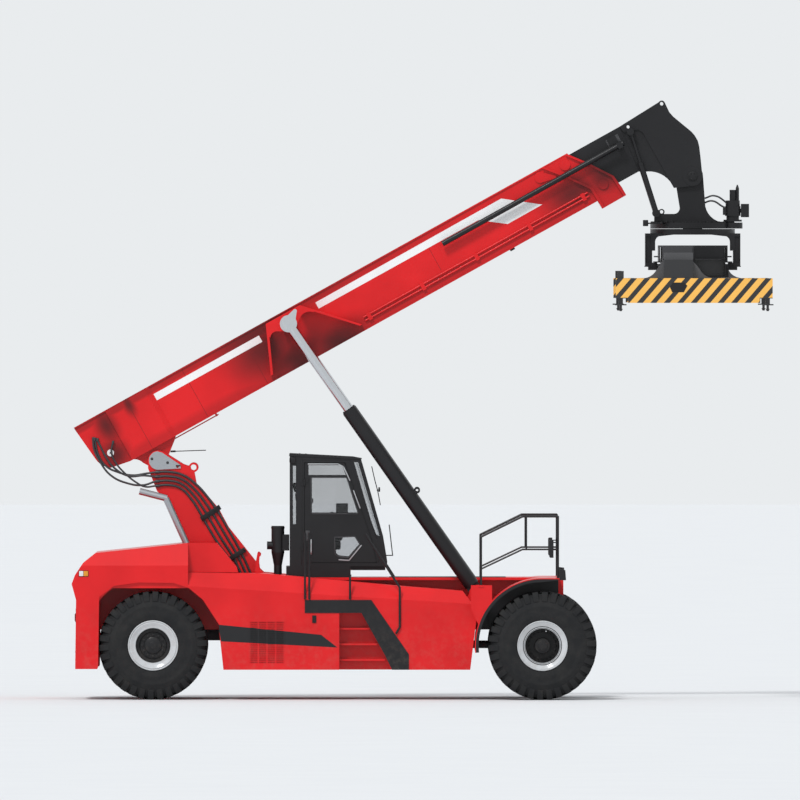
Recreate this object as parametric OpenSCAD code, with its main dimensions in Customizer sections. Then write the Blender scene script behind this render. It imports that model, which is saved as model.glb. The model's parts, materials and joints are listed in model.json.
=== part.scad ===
// Container reach stacker, seen parked with its boom half raised.
// +X points ahead, +Y to the left and +Z up. The origin lies on the ground under the middle of the machine.
// Boom pieces are drawn in the boom's own frame: u runs along the boom from its pivot and v across it.

/* [Wheels] */
// Distance between the drive axle and the steer axle
wheelbase = 6000; // [5800:10:6200]
// Drive axle ahead of the middle of the machine
drive_axle_x = 1861; // [1841:1:1881]
// Tyre diameter over the lugs
tyre_d = 1672; // [1650:1:1680]
// Tyre width
tyre_w = 500; // [470:5:505]
// Depth of the tread lugs
lug_depth = 36; // [20:1:50]
// Number of tread lugs round a tyre
lug_count = 34; // [24:1:36]
// Rim diameter over its flanges
rim_d = 774; // [740:2:790]
// Middle of the inner drive tyre, from the middle of the machine
drive_tyre_y = 1220; // [1215:1:1240]
// Gap between the twin drive tyres
twin_gap = 90; // [60:5:120]
// Middle of the steer tyre, from the middle of the machine
steer_tyre_y = 1393; // [1385:1:1400]
// Kingpin, from the middle of the machine
kingpin_y = 1000; // [990:1:1010]

/* [Chassis] */
// Half the spacing over the outer faces of the frame rails
rail_y = 480; // [460:5:490]
// Width of a frame rail
rail_w = 140; // [100:5:160]
// Thickness of the deck plate
deck_t = 40; // [20:5:60]
// Height of the deck above the ground
deck_z = 1877; // [1860:1:1890]
// Half the width of the body
body_y = 1650; // [1640:5:1700]
// Half the width of the deck, where the side bodies begin
deck_y = 760; // [755:1:780]
// Ground clearance under the side bodies
body_z = 462; // [420:2:500]
// Rearmost face of the counterweight, behind the middle of the machine
tail_x = 5394; // [5384:1:5420]

/* [Cab] */
// Half the width of the cab
cab_y = 740; // [700:5:745]
// Thickness of the cab walls
cab_wall = 45; // [30:1:60]
// Gap round a cab door
door_gap = 8; // [6:1:12]

/* [Boom] */
// Pitch of the boom as parked
boom_pitch = 29.1; // [20:0.1:35]
// Boom pivot behind the middle of the machine
pivot_back = 4070; // [4060:1:4080]
// Boom pivot above the ground
pivot_z = 3680; // [3670:1:3690]
// Half the width of the outer boom
boom_y = 360; // [340:5:370]
// Plate thickness of the booms
boom_t = 16; // [10:1:20]
// Top of the outer boom across from the pivot line
boom_top = 1075; // [1070:1:1090]
// Underside of the outer boom across from the pivot line
boom_low = 200; // [190:1:205]
// Half the width of the inner boom
inner_y = 300; // [290:1:305]
// Top of the inner boom across from the pivot line
inner_top = 1040; // [1035:1:1045]
// Underside of the inner boom across from the pivot line
inner_low = 290; // [280:1:300]
// Head pivot along the boom
head_u = 9353; // [9340:1:9370]
// Head pivot below the pivot line
head_drop = 180; // [170:1:190]

/* [Cylinders] */
// Lower pin of a lift cylinder, ahead of the middle of the machine
lift_pin_x = 869; // [859:1:879]
// Lower pin of a lift cylinder above the ground
lift_pin_z = 1630; // [1625:1:1640]
// Upper pin of a lift cylinder along the boom
lift_eye_u = 2789; // [2780:1:2800]
// Upper pin of a lift cylinder across the boom
lift_eye_v = 867; // [860:1:875]
// Middle of a lift cylinder, from the middle of the machine
lift_y = 920; // [910:1:925]
// Outer diameter of a lift cylinder's barrel
barrel_d = 232; // [210:2:236]
// Diameter of a lift cylinder's rod
rod_d = 154; // [130:2:160]
// Width of a lift cylinder's eyes
eye_w = 140; // [120:2:144]

/* [Spreader] */
// Width of the end beams along the machine
beam_w = 2410; // [2380:2:2440]
// Spacing of the twistlocks along the machine
lock_w = 2259; // [2240:1:2270]
// Half the spacing of the twistlocks across the machine
lock_y = 2926; // [2910:1:2940]
// Top of the end beams below the head pivot
beam_drop = 1575; // [1565:1:1585]
// Height of the end beams
beam_h = 378; // [350:2:400]

/* [Hidden] */

// Colours
red = "#de2828";
black = "#2d2d2f";
dark = "#3a3a3c";
silver = "#c9ccce";
rubber = "#26272a";
glassy = "#7f9aa6";
yellow = "#f0b850";

// Fit of a pin or spindle in its bore
fit = 0.5;
// Gap between pieces that move past each other
gap = 6;
// Reach past a face when cutting
cut = 20;
// Segments of a full circle
fine = 48;

// Places worked out from the sizes
axle_z = tyre_d / 2;
steer_axle_x = drive_axle_x - wheelbase;
rim_r = rim_d / 2;
pivot_x = -pivot_back;
tail = -tail_x;
rail_in = rail_y - rail_w;
rail_low = 1070;
deck_low = deck_z - deck_t;

function rot_x(u, v) = u * cos(boom_pitch) - v * sin(boom_pitch);
function rot_z(u, v) = u * sin(boom_pitch) + v * cos(boom_pitch);
head_x = pivot_x + rot_x(head_u, -head_drop);
head_z = pivot_z + rot_z(head_u, -head_drop);
lift_eye_x = pivot_x + rot_x(lift_eye_u, lift_eye_v);
lift_eye_z = pivot_z + rot_z(lift_eye_u, lift_eye_v);
lift_tilt = atan2(lift_eye_z - lift_pin_z, lift_eye_x - lift_pin_x);
lift_len = norm([lift_eye_x - lift_pin_x, lift_eye_z - lift_pin_z]);

// Points of the head, from its pivot
damper_low = [-563, -570];
damper_high = [-963, 687];
damper_y = inner_y + 90;
damper_eye = 88;
damper_r = 42;
damper_len = norm(damper_high - damper_low);
damper_tilt = atan2(damper_high[1] - damper_low[1], damper_high[0] - damper_low[0]);
ring_top = -715;
ring_low = -903;
ring_r = 655;
motor_x = 620;
motor_y = 250;

// Upper damper pin in the boom's own frame
damper_u = head_u + damper_high[0] * cos(boom_pitch) + damper_high[1] * sin(boom_pitch);
damper_v = -head_drop - damper_high[0] * sin(boom_pitch) + damper_high[1] * cos(boom_pitch);

// Points along an arc
function arc(c, r, a0, a1, n = 8) = [for (i = [0 : n])
  c + r * [cos(a0 + (a1 - a0) * i / n), sin(a0 + (a1 - a0) * i / n)]];

// Outline of a plate that follows a line, as thick as t along its first axis
function strip(line, t) = concat(line, [for (i = [len(line) - 1 : -1 : 0]) line[i] + [t, 0]]);

// Outline of a lug that narrows from a round end of radius ra to one of radius rb
function lug(a, ra, b, rb) = let (way = atan2(b[1] - a[1], b[0] - a[0]))
  concat(arc(a, ra, way + 90, way + 270, 12), arc(b, rb, way - 90, way + 90, 8));

// A plate that stands upright along the machine, from y0 to y1, its outline in x and z
module slab(points, y0, y1) {
  translate([0, y1, 0]) rotate([90, 0, 0]) linear_extrude(height = y1 - y0) polygon(points);
}

// A plate that lies flat, from z0 to z1, its outline in x and y
module plate(points, z0, z1) {
  translate([0, 0, z0]) linear_extrude(height = z1 - z0) polygon(points);
}

// A round bar across the machine
module bar_y(x, z, r, y0, y1) {
  translate([x, y0, z]) rotate([-90, 0, 0]) cylinder(r = r, h = y1 - y0, $fn = fine);
}

// A block between two corners
module block(a, b) {
  translate(a) cube([b[0] - a[0], b[1] - a[1], b[2] - a[2]]);
}

// A bar between two points that runs past both ends by a share of its radius
module bar(a, b, r, sides = 8, past = 0) {
  d = b - a;
  translate(a) rotate([0, acos(d[2] / norm(d)), atan2(d[1], d[0])])
    translate([0, 0, -past]) cylinder(r = r, h = norm(d) + 2 * past, $fn = sides);
}

// A railing tube through a list of points
module tube_run(points, r) {
  for (i = [0 : len(points) - 2]) bar(points[i], points[i + 1], r, 8, r * 0.4);
}

// The same on both sides of the machine
module both() {
  children();
  mirror([0, 1, 0]) children();
}

// The left side for 1 and the right side for -1
module side(s) {
  if (s > 0) children();
  else mirror([0, 1, 0]) children();
}

// The boom's own frame
module on_boom() {
  translate([pivot_x, 0, pivot_z]) rotate([0, -boom_pitch, 0]) children();
}

// Turned about an axle across the machine
module on_axle(x, y) {
  translate([x, y, axle_z]) rotate([-90, 0, 0]) children();
}

// Frame rails and crossbeams
module frame() {
  front_x = drive_axle_x + 330;
  color(red) {
    both() block([tail + 230, rail_in, rail_low], [front_x, rail_y, deck_low]);
    for (x = [tail + 230, steer_axle_x - 200, -1900, -300, front_x - 60])
      block([x, -rail_in - 1, rail_low + 60], [x + 60, rail_in + 1, deck_low - 60]);
    both() difference() {
      block([505, rail_y - 1, 1110], [lift_pin_x + 136, lift_y + eye_w / 2 + 40, 1440]);
      block([505 - cut, rail_y + 60, 1160], [lift_pin_x + 60, lift_y, 1400]);
    }
    both() for (y = [lift_y - eye_w / 2 - 40, lift_y + eye_w / 2 + 5]) difference() {
      union() {
        slab([[lift_pin_x - 250, 1430], [lift_pin_x + 136, 1430], [lift_pin_x + 136, lift_pin_z],
          [lift_pin_x - 136, lift_pin_z]], y, y + 35);
        bar_y(lift_pin_x, lift_pin_z, 136, y, y + 35);
      }
      bar_y(lift_pin_x, lift_pin_z, 75 + fit, y - cut, y + 35 + cut);
    }
    // Hanger that the steer axle rocks in
    for (x = [steer_axle_x - 260, steer_axle_x + 200])
      difference() {
        block([x, -200, axle_z - 90], [x + 60, 200, rail_low + 61]);
        translate([x - cut, 0, axle_z]) rotate([0, 90, 0]) cylinder(r = 60 + fit, h = 100, $fn = fine);
      }
    block([steer_axle_x - 260, -rail_in - 1, rail_low], [steer_axle_x + 260, rail_in + 1, rail_low + 60]);
  }
}

// Deck plate along the middle
module deck() {
  color(red) {
    block([-2300, -deck_y, deck_low], [fender_front, deck_y, deck_z]);
  }
}

// Space in the body that a steered wheel sweeps
module wheel_sweep() {
  reach = norm([tyre_d / 2, steer_tyre_y + tyre_w / 2 - kingpin_y]) + 25;
  intersection() {
    bar_y(steer_axle_x, axle_z, reach, rail_y - cut, body_y - 25);
    block([steer_axle_x - 2 * tyre_d, 0, 0], [steer_axle_x + 2 * tyre_d, 2 * body_y, tyre_d + 48]);
  }
}

// Arch that the skin leaves round a steered wheel, from the axle's middle
arch = [[-858, -1000], [-830, 748], [-607, 918], [-222, 972], [323, 964], [549, 887], [770, 702],
  [934, 449], [1015, 324], [1084, -1000]];
module arch_cut() {
  translate([steer_axle_x, 0, axle_z]) slab(arch, body_y - 25 - cut, body_y + cut);
}

// Line of the exhaust pipe: its foot in the counterweight, its bend and its mouth
exhaust_y = -560;
exhaust_r = 52;
exhaust_line = [[-3571, exhaust_y, 2267], [-3948, exhaust_y, 3101], [-4340, exhaust_y, 3202]];

// Counterweight with the rear wings over the steered wheels
cw_front = -3600;
module counterweight() {
  color(red) difference() {
    slab([[tail + 55, 473], [tail + 68, 1538], [tail, 1785], [tail + 52, 1923], [tail + 176, 2108],
      [tail + 371, 2262], [cw_front, 2413], [cw_front, 1150], [tail + 720, 1150], [tail + 395, 473]],
      -body_y, body_y);
    both() wheel_sweep();
    both() arch_cut();
    // Room for the frame rails
    block([tail + 230, -rail_y, 0], [cw_front + cut, rail_y, deck_low]);
    // Slanting top corners
    both() translate([tail - cut, body_y, 2068]) rotate([32, 0, 0])
      cube([tail_x + cw_front + 2 * cut, 900, 900]);
    // Sockets of the rear lamps
    both() block([tail + 110 - fit, body_y - 10 - fit, 1900 - fit], [tail + 260 + fit, body_y + cut, 1990 + fit]);
    // Hole that the exhaust comes up through
    bar(exhaust_line[0], exhaust_line[1], exhaust_r + fit, 12, 2);
  }
}

// Louvre panels in the side bodies: their ends, lower and upper edges, and depth
grille_rear = -2660;
grille_front = -2106;
grille_low = 553;
grille_high = 1199;
grille_deep = 40;
// Well of the steps, and the black frame round its upper and front edges
step_well = [[-1269, 400], [-1269, 1338], [-927, 1338], [-573, 701], [-455, body_z], [-455, 400]];
step_frame = [[-1800, 1338], [-1800, 1538], [-774, 1538], [-196, 701], [-196, body_z],
  [-455, body_z], [-573, 701], [-927, 1338]];

// Side bodies between the axles
module side_bodies() {
  inner = body_y - 300;
  color(red) both() difference() {
    union() {
      difference() {
        slab([[-3054, body_z], [750, body_z], [lift_pin_x, 1430], [lift_pin_x - 123, 1522],
          [633, 1677], [-348, 1754], [-2418, 1946], [cw_front, 1960], [cw_front, 1400], [-3124, 1100]],
          deck_y, body_y);
        wheel_sweep();
        arch_cut();
        // Slanting upper edge
        translate([cw_front - cut, body_y, 1753]) rotate([0, 3.6, 0]) rotate([36, 0, 0])
          cube([5000, 500, 600]);
        // Room for the cylinder brackets
        block([500, deck_y - cut, body_z - cut], [1000, 1060, 2000]);
        // Recess of the louvres
        block([grille_rear, body_y - grille_deep, grille_low], [grille_front, body_y + cut, grille_high]);
        // Well of the steps
        slab(step_well, inner, body_y + cut);
      }
      // Treads against the back of the well
      for (z = [600, 840, 1080])
        block([step_well[0][0] - 1, inner - 1, z], [-560 - (z - 600) * 0.5, inner + 170, z + 26]);
      // Hook that stands on the upper edge
      slab([[-2572, 1930], [-2560, 2110], [-2532, 2262], [-2508, 2262], [-2484, 2238], [-2484, 2206],
        [-2506, 2196], [-2512, 2100], [-2500, 2010], [-2410, 1925]], 795, 820);
    }
    // Joint between the two panels
    block([step_well[0][0] - 4, body_y - 6, step_well[2][1] + 200], [step_well[0][0] + 4, body_y + cut, 2000]);
  }
}

// Hood on either side of the tower
module hood() {
  color(red) difference() {
    both() difference() {
      slab([[cw_front, 1960], [cw_front, 2413], [-3154, 2413], [-2852, 2046], [-2830, 1960]], 500, 1420);
      translate([cw_front - cut, body_y, 2068]) rotate([32, 0, 0]) cube([1200, 900, 900]);
    }
    bar(exhaust_line[0], exhaust_line[1], exhaust_r + fit, 12, 2);
  }
}

// Louvre panels in the side bodies
module grilles() {
  bar_h = 17;
  pitch = 28;
  columns = 4;
  stile = 22;
  length = grille_front - grille_rear - 2 * fit;
  color(red) both() translate([grille_rear + fit, body_y - 14, 0]) {
    for (z = [grille_low + fit : pitch : grille_high - bar_h]) block([0, 0, z], [length, 12, z + bar_h]);
    for (i = [0 : columns]) {
      x = (length - stile) * i / columns;
      block([x, 0, grille_low + fit], [x + stile, 10, grille_high - fit]);
    }
  }
}

// Tower plates that carry the boom pivot
tower_y = 340;
module tower() {
  outline = [[-3590, deck_low], [-3590, 2413], [-3954, 3103], [-4084, 3201], [pivot_x - 155, 3557],
    [pivot_x - 155, pivot_z], [pivot_x, pivot_z + 155], [pivot_x + 110, pivot_z + 120], [-3674, 3621],
    [-3523, 3573], [-3475, 3308], [-3307, 3136], [-3133, 2931], [-2983, 2650], [-2552, 2110],
    [-2400, deck_low]];
  color(red) {
    both() difference() {
      union() {
        slab(outline, tower_y, tower_y + 50);
        bar_y(pivot_x, pivot_z, 155, tower_y, tower_y + 60);
        bar_y(-3523, 3573, 75, tower_y, tower_y + 50);
      }
      bar_y(pivot_x, pivot_z, 70 + fit, tower_y - cut, tower_y + 100);
      bar_y(-3523, 3573, 45, tower_y - cut, tower_y + 100);
    }
  }
}

// Cross plates between the two sides of the tower
module tower_plates() {
  color(red) {
    slab([[-3590, deck_low], [-3590, 2413], [-3900, 3000], [-3860, 3020], [-3550, 2423],
      [-3550, deck_low]], -tower_y, tower_y);
    slab([[-2640, deck_low], [-2640, 2200], [-2990, 2640], [-3150, 2920], [-3190, 2900],
      [-3030, 2620], [-2680, 2185], [-2680, deck_low]], -tower_y, tower_y);
  }
}

// Hoses that lie along the right side of the tower: the upper one, the lower one, and those between
hose_r = 20;
hose_count = 4;
hose_rest = deck_low + 0.3;
hose_upper = [[-4110, 3480], [-3800, 3465], [-3640, 3400], [-3400, 3190], [-2640, 1950], [-2640, hose_rest]];
hose_lower = [[-4110, 3275], [-3820, 3265], [-3680, 3200], [-3540, 3060], [-2870, 1920], [-2870, hose_rest]];
module tower_hoses() {
  y = -tower_y - 50 - hose_r - 1;
  // A hose is a band with bevelled sides: its width, how far that is set in, and half its depth
  layers = [[1, 0, 0.5], [0.6, 0.2, 1]];
  across = hose_r * [1.55, 1.3];
  color(rubber) for (i = [0 : hose_count - 1]) {
    share = i / (hose_count - 1);
    line = hose_upper * (1 - share) + hose_lower * share;
    for (k = layers) slab(concat([for (p = line) p + across * k[1]],
      [for (j = [len(line) - 1 : -1 : 0]) line[j] + across * (k[1] + k[0])]), y - hose_r * k[2], y + hose_r * k[2]);
  }
}

// Boom pivot pin with its keepers, and the lower pins of the lift cylinders
module pins() {
  keeper = concat(arc([0, 0], 142, 205, 95, 8), [[66, 119], [350, -72], [350, -122], [40, -140]],
    arc([0, 0], 142, 270, 225, 4));
  color(silver) {
    bar_y(pivot_x, pivot_z, 70, -tower_y - 60, tower_y + 60);
    both() difference() {
      translate([pivot_x, 0, pivot_z]) slab(keeper, tower_y + 60, tower_y + 72);
      bar_y(pivot_x + 300, pivot_z - 95, 20, tower_y, tower_y + 100);
    }
    both() bar_y(lift_pin_x, lift_pin_z, 75, lift_y - eye_w / 2 - 50, lift_y + eye_w / 2 + 50);
  }
}

// Drive axle under the front of the frame
module drive_axle() {
  color(dark) {
    difference() {
      union() {
        bar_y(drive_axle_x, axle_z, 200, -drive_tyre_y + 310, drive_tyre_y - 310);
        bar_y(drive_axle_x, axle_z, 100, -drive_tyre_y - 420, drive_tyre_y + 420);
        translate([drive_axle_x, 0, axle_z]) sphere(r = 330, $fn = fine);
        translate([drive_axle_x - 420, 0, axle_z]) rotate([0, 90, 0]) cylinder(r = 110, h = 420, $fn = fine);
        both() block([drive_axle_x - 170, rail_in, axle_z], [drive_axle_x + 170, rail_y, rail_low]);
      }
      block([drive_axle_x - 400, -400, rail_low + 40], [drive_axle_x + 400, 400, 2000]);
    }
  }
}

// Steer axle, rocking on a pin under the rear of the frame
module steer_axle() {
  color(dark) difference() {
    union() {
      plate([[steer_axle_x - 190, -450], [steer_axle_x - 190, 450], [steer_axle_x - 100, kingpin_y],
        [steer_axle_x + 100, kingpin_y], [steer_axle_x + 190, 450], [steer_axle_x + 190, -450],
        [steer_axle_x + 100, -kingpin_y], [steer_axle_x - 100, -kingpin_y]], axle_z - 140, axle_z + 140);
      both() translate([steer_axle_x, kingpin_y, axle_z - 140]) cylinder(r = 115, h = 280, $fn = fine);
      translate([steer_axle_x - 260, 0, axle_z]) rotate([0, 90, 0]) cylinder(r = 60, h = 520, $fn = fine);
    }
    both() translate([steer_axle_x, kingpin_y, 0]) cylinder(r = 55 + fit, h = 2000, $fn = fine);
  }
}

// Engine and gearbox as one plain block, with the shaft to the drive axle
module engine() {
  rear = steer_axle_x + 639;
  split = rear + 1100;
  front = split + 500;
  color(dark) {
    block([rear, -330, 900], [split, 330, 1700]);
    block([split - 1, -230, 750], [front, 230, 1350]);
    translate([front - 10, 0, axle_z]) rotate([0, 90, 0])
      cylinder(r = 60, h = drive_axle_x - 420 - front + 10, $fn = fine);
  }
}

// Fenders over the drive wheels: an arc up from the rear, then flat to the front
fender_r = deck_z - axle_z;
fender_front = drive_axle_x + 260;
fender_out = drive_tyre_y + 850;
// Rear post of the platform's railing, and the height of its foot
railing_y = drive_tyre_y + 820;
rail_x = 915;
foot_z = 1769;
module fenders() {
  lip = 60;
  skin = 16;
  low = 6;
  // Where the railing's side plate meets the arc
  function on_arc(x) = [x, axle_z + sqrt(pow(fender_r - 11, 2) - pow(drive_axle_x - x, 2))];
  color(red) both() difference() {
    union() {
      translate([drive_axle_x, 0, axle_z]) rotate([-90, 0, 0])
        rotate_extrude(angle = 90 + low, start = 180 - low, $fn = 96)
          polygon([[fender_r - skin, deck_y], [fender_r, deck_y], [fender_r, fender_out],
            [fender_r - lip, fender_out], [fender_r - lip, fender_out - 20], [fender_r - skin, fender_out - 20]]);
      block([drive_axle_x, deck_y, deck_z - skin], [fender_front, fender_out, deck_z]);
      slab([[drive_axle_x, deck_z - lip], [drive_axle_x, deck_z], [fender_front, deck_z],
        [fender_front, deck_z - lip / 2]], fender_out - 20, fender_out);
      // Side plate that the rear railing post stands on
      slab(concat([[760, 1400], [760, foot_z], [1085, foot_z]], [for (x = [1085, 1000, 930, 880]) on_arc(x)]),
        railing_y - 10, railing_y + 10);
      block([rail_x - 40, railing_y - 32, foot_z - 24], [rail_x + 40, railing_y + 29, foot_z]);
    }
    block([0, deck_y - cut, 0], [lift_pin_x + 145, 1060, 3000]);
  }
}

// Black frame round each step well, with the latch of the panel below it
module steps() {
  color(black) both() {
    slab(step_frame, body_y, body_y + 12);
    // Latch below the frame
    block([-1685, body_y, 1185], [-1623, body_y + 14, 1300]);
    block([-1672, body_y + 13, 1200], [-1636, body_y + 26, 1262]);
  }
}

// Railings of the front platform and grab rails by the cab
module railings() {
  r = 17;
  y = railing_y;
  post_x = 2100;
  // A run goes past its ends by a share of its radius, so it starts this far from what it stands on
  stand = r * 0.4 + 0.3;
  color(black) both() {
    out = body_y + 25;
    foot = body_y + stand;
    tube_run([[rail_x, y, foot_z + stand], [rail_x, y, 2515], [1553, y, 2828], [post_x, y, 2828],
      [post_x, y, deck_z + stand]], r);
    tube_run([[rail_x, y, 2019], [1553, y, 2321], [post_x, y, 2321]], r * 0.8);
    bar([1612, y, 2828], [1612, y, 2321], r * 0.8);
    // Mirror on the front post
    block([2020, y - 8, 2420], [post_x, y + 8, 2436]);
    slab([[1966, 2206], [1980, 2192], [2031, 2192], [2031, 2469], [1980, 2469], [1966, 2455]], y - 90, y + 90);
    // Grab rails beside the cab
    for (x = [-1797, -1731]) tube_run([[x, foot, 1560], [x, out, 1560], [x, out, 2570]], r);
    tube_run([[-1103, foot, 1560], [-1103, out, 1560], [-1103, out, 1892]], r);
    tube_run([[-860, out, 2547], [-336, out, 1729], [-336, out, 1120], [-390, out, 1029], [-390, foot, 1029]], r);
    bar([-336, body_y, 1400], [-336, out, 1400], r);
  }
}

// Exhaust pipe behind the tower, on the right
module exhaust() {
  mouth = exhaust_line[2];
  inward = exhaust_line[1] - mouth;
  color(silver) {
    bar(exhaust_line[0], exhaust_line[1], exhaust_r, 12, 0);
    difference() {
      bar(exhaust_line[1], mouth, exhaust_r, 12, 16);
      bar(mouth, mouth + inward * 0.7, exhaust_r - 7, 12, 20);
    }
  }
}

// Air cleaner between the tower and the cab
module air_cleaner() {
  x = -2219;
  y = -560;
  body_low = 2262;
  body_high = 2671;
  color(black) {
    translate([x, y, body_low]) cylinder(r = 100, h = body_high - body_low, $fn = fine);
    translate([x, y, body_high - 40]) cylinder(r = 106, h = 24, $fn = fine);
    // Bowl below the canister, and the pipe down to the engine
    translate([x, y, body_low - 200]) cylinder(r1 = 62, r2 = 100, h = 201, $fn = fine);
    translate([x, y, deck_z]) cylinder(r = 62, h = body_low - 199 - deck_z, $fn = fine);
    // Outlet behind, and the intake box towards the cab
    translate([x - 168, y, 2370]) rotate([0, 90, 0]) cylinder(r = 62, h = 168, $fn = fine);
    block([x, y - 70, 2290], [cab_rear - gap, y + 70, 2540]);
  }
}

// Outline of the cab, grown by g, and the door in its side
cab_rear = -2036;
cab_floor = 2048;
function cab_line(g) = [[cab_rear - g, cab_floor - g], [cab_rear - g, 3760 + g], [-938 + g, 3708 + g],
  [-595 + g, 2509], [-529 + g, 2112], [-540 + g, cab_floor - g]];
door_front_low = -720;
door_front_high = -1180;
function door_line(g) = [[-1812 - g, 2100 - g], [-1812 - g, 3650 + g], [door_front_high + g, 3650 + g],
  [door_front_low - 44 + g, 2462], [door_front_low + 30 + g, 2100 - g]];
// Windows of a door from the top down, the quarter light before it and the slit behind it
door_windows = [
  [[-1748, 3449], [-1748, 3610], [-1225, 3610], [-1168, 3449]],
  [[-1704, 2860], [-1704, 3420], [-1157, 3420], [-976, 2860]],
  [[-1341, 2250], [-1341, 2495], [-1030, 2510], [-950, 2385], [-1126, 2180], [-1290, 2200]]
];
quarter_light = [[-1046, 3655], [-975, 3655], [-642, 2500], [-722, 2540]];
rear_slit = [[-1990, 2690], [-1990, 3600], [-1940, 3600], [-1940, 2690]];
// Outline of a pane that sits in a window's hole
module pane(outline, y0, y1) {
  translate([0, y1, 0]) rotate([90, 0, 0]) linear_extrude(height = y1 - y0) difference() {
    polygon(outline);
    // Clearance all round the pane
    for (i = [0 : len(outline) - 1]) let (a = outline[i], b = outline[(i + 1) % len(outline)], d = b - a)
      translate(a) rotate(atan2(d[1], d[0])) translate([-fit, -fit]) square([norm(d) + 2 * fit, 2 * fit]);
  }
}

module cab_shell() {
  color(black) {
    difference() {
      slab(cab_line(0), -cab_y, cab_y);
      slab(cab_line(-cab_wall), -cab_y + cab_wall, cab_y - cab_wall);
      both() slab(door_line(0), cab_y - cab_wall - cut, cab_y + cut);
      both() for (w = [quarter_light, rear_slit]) slab(w, cab_y - cab_wall - cut, cab_y + cut);
      // Rear window
      block([cab_rear - cut, -cab_y + 130, 2600], [cab_rear + cab_wall + cut, cab_y - 130, 3600]);
      // Windscreen
      block([-1040, -cab_y + 90, 2160], [-400, cab_y - 90, 3640]);
      // Roof window
      block([-1750, -cab_y + 150, 3600], [-1130, cab_y - 150, 3900]);
    }
    // Roof cap with its drip edge
    both() slab([[cab_rear - 10, 3752], [cab_rear - 4, 3790], [-1060, 3738], [-925, 3712], [-925, 3700]],
      cab_y - 150, cab_y + 12);
    // Base that carries the cab on the deck
    both() block([-2090, cab_y - 160, deck_z], [-1096, cab_y, cab_floor]);
    for (x = [-2090, -1176]) block([x, -cab_y + 100, deck_z], [x + 80, cab_y - 100, cab_floor]);
    block([-1097, -cab_y + 100, cab_floor - 60], [-560, cab_y - 100, cab_floor + 1]);
    // Hinge pins of the doors
    both() for (z = [2350, 3350]) {
      translate([hinge_x, hinge_y, z - 56]) cylinder(r = hinge_r, h = 50, $fn = fine);
      translate([hinge_x, hinge_y, z - 56]) cylinder(r = 8, h = 106, $fn = fine);
      block([hinge_x - 60, cab_y - 1, z - 56], [hinge_x, hinge_y, z - 6]);
    }
  }
}

module cab_glass() {
  color(glassy, 0.5) {
    slab([[-1010, 3640 - fit], [-984, 3640 - fit], [-640, 2509], [-580, 2160 + fit], [-606, 2160 + fit],
      [-666, 2509]], -cab_y + 90 + fit, cab_y - 90 - fit);
    block([cab_rear + 10, -cab_y + 130 + fit, 2600 + fit], [cab_rear + 18, cab_y - 130 - fit, 3600 - fit]);
    both() for (w = [quarter_light, rear_slit]) pane(w, cab_y - 20, cab_y - 14);
    // Roof pane
    slab([[-1750 + fit, 3720], [-1750 + fit, 3732], [-1130 - fit, 3703], [-1130 - fit, 3691]],
      -cab_y + 150 + fit, cab_y - 150 - fit);
  }
}

// Seat, console and steering column
module cab_seat() {
  color(dark) {
    block([-1700, -170, cab_floor + cab_wall], [-1300, 170, cab_floor + 380]);
    block([-1720, -250, cab_floor + 380], [-1220, 250, cab_floor + 500]);
    slab([[-1720, cab_floor + 490], [-1860, 3200], [-1760, 3220], [-1600, cab_floor + 490]], -240, 240);
    block([-1050, -60, cab_floor + cab_wall], [-930, 60, cab_floor + 700]);
    translate([-1010, 0, cab_floor + 690]) rotate([0, -25, 0]) cylinder(r = 190, h = 30, $fn = fine);
  }
}

// Hinge line of a cab door
hinge_x = -1808;
hinge_y = cab_y + 16;
hinge_r = 14;

// Cab door, hinged at its rear edge
module cab_door() {
  color(black) difference() {
    slab(door_line(-door_gap), cab_y - 40, cab_y);
    for (w = door_windows) slab(w, 0, 1000);
  }
  color(black) for (z = [2350, 3350]) difference() {
    union() {
      translate([hinge_x, hinge_y, z]) cylinder(r = hinge_r, h = 50, $fn = fine);
      block([hinge_x, cab_y - 1, z], [hinge_x + 60, hinge_y, z + 50]);
    }
    translate([hinge_x, hinge_y, z - cut]) cylinder(r = 8 + fit, h = 100, $fn = fine);
  }
}
module door_glass(s) {
  color(glassy, 0.5) side(s) for (w = door_windows) pane(w, cab_y - 23, cab_y - 17);
}
module door_glass_left() {
  door_glass(1);
}
module door_glass_right() {
  door_glass(-1);
}
module cab_door_left() {
  side(1) cab_door();
}
module cab_door_right() {
  side(-1) cab_door();
}

// Head lamps on the fenders, rear lamps in the wings
module lamps() {
  y = drive_tyre_y + 700;
  low = 1846;
  color(black) both() {
    difference() {
      slab([[fender_front, low], [fender_front, low + 168], [fender_front + 92, low + 157],
        [fender_front + 104, low]], y, y + 140);
      slab([[fender_front + 80, low + 18], [fender_front + 80, low + 140], [fender_front + 120, low + 140],
        [fender_front + 120, low + 18]], y + 14, y + 126);
    }
    block([tail + 110, body_y - 10, 1900], [tail + 260, body_y + 8, 1990]);
  }
}

// Steering knuckle on its kingpin
module knuckle(s) {
  stub = steer_tyre_y + 120;
  color(dark) side(s) {
    translate([steer_axle_x, kingpin_y, axle_z - 235]) cylinder(r = 55, h = 470, $fn = fine);
    for (z = [-235, 146]) {
      translate([steer_axle_x, kingpin_y, axle_z + z]) cylinder(r = 115, h = 89, $fn = fine);
      block([steer_axle_x - 100, kingpin_y, axle_z + z], [steer_axle_x + 100, kingpin_y + 160, axle_z + z + 89]);
    }
    block([steer_axle_x - 100, kingpin_y + 121, axle_z - 235], [steer_axle_x + 100, kingpin_y + 160, axle_z + 235]);
    bar_y(steer_axle_x, axle_z, 90, kingpin_y + 159, stub);
  }
}
module knuckle_left() {
  knuckle(1);
}
module knuckle_right() {
  knuckle(-1);
}

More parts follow.
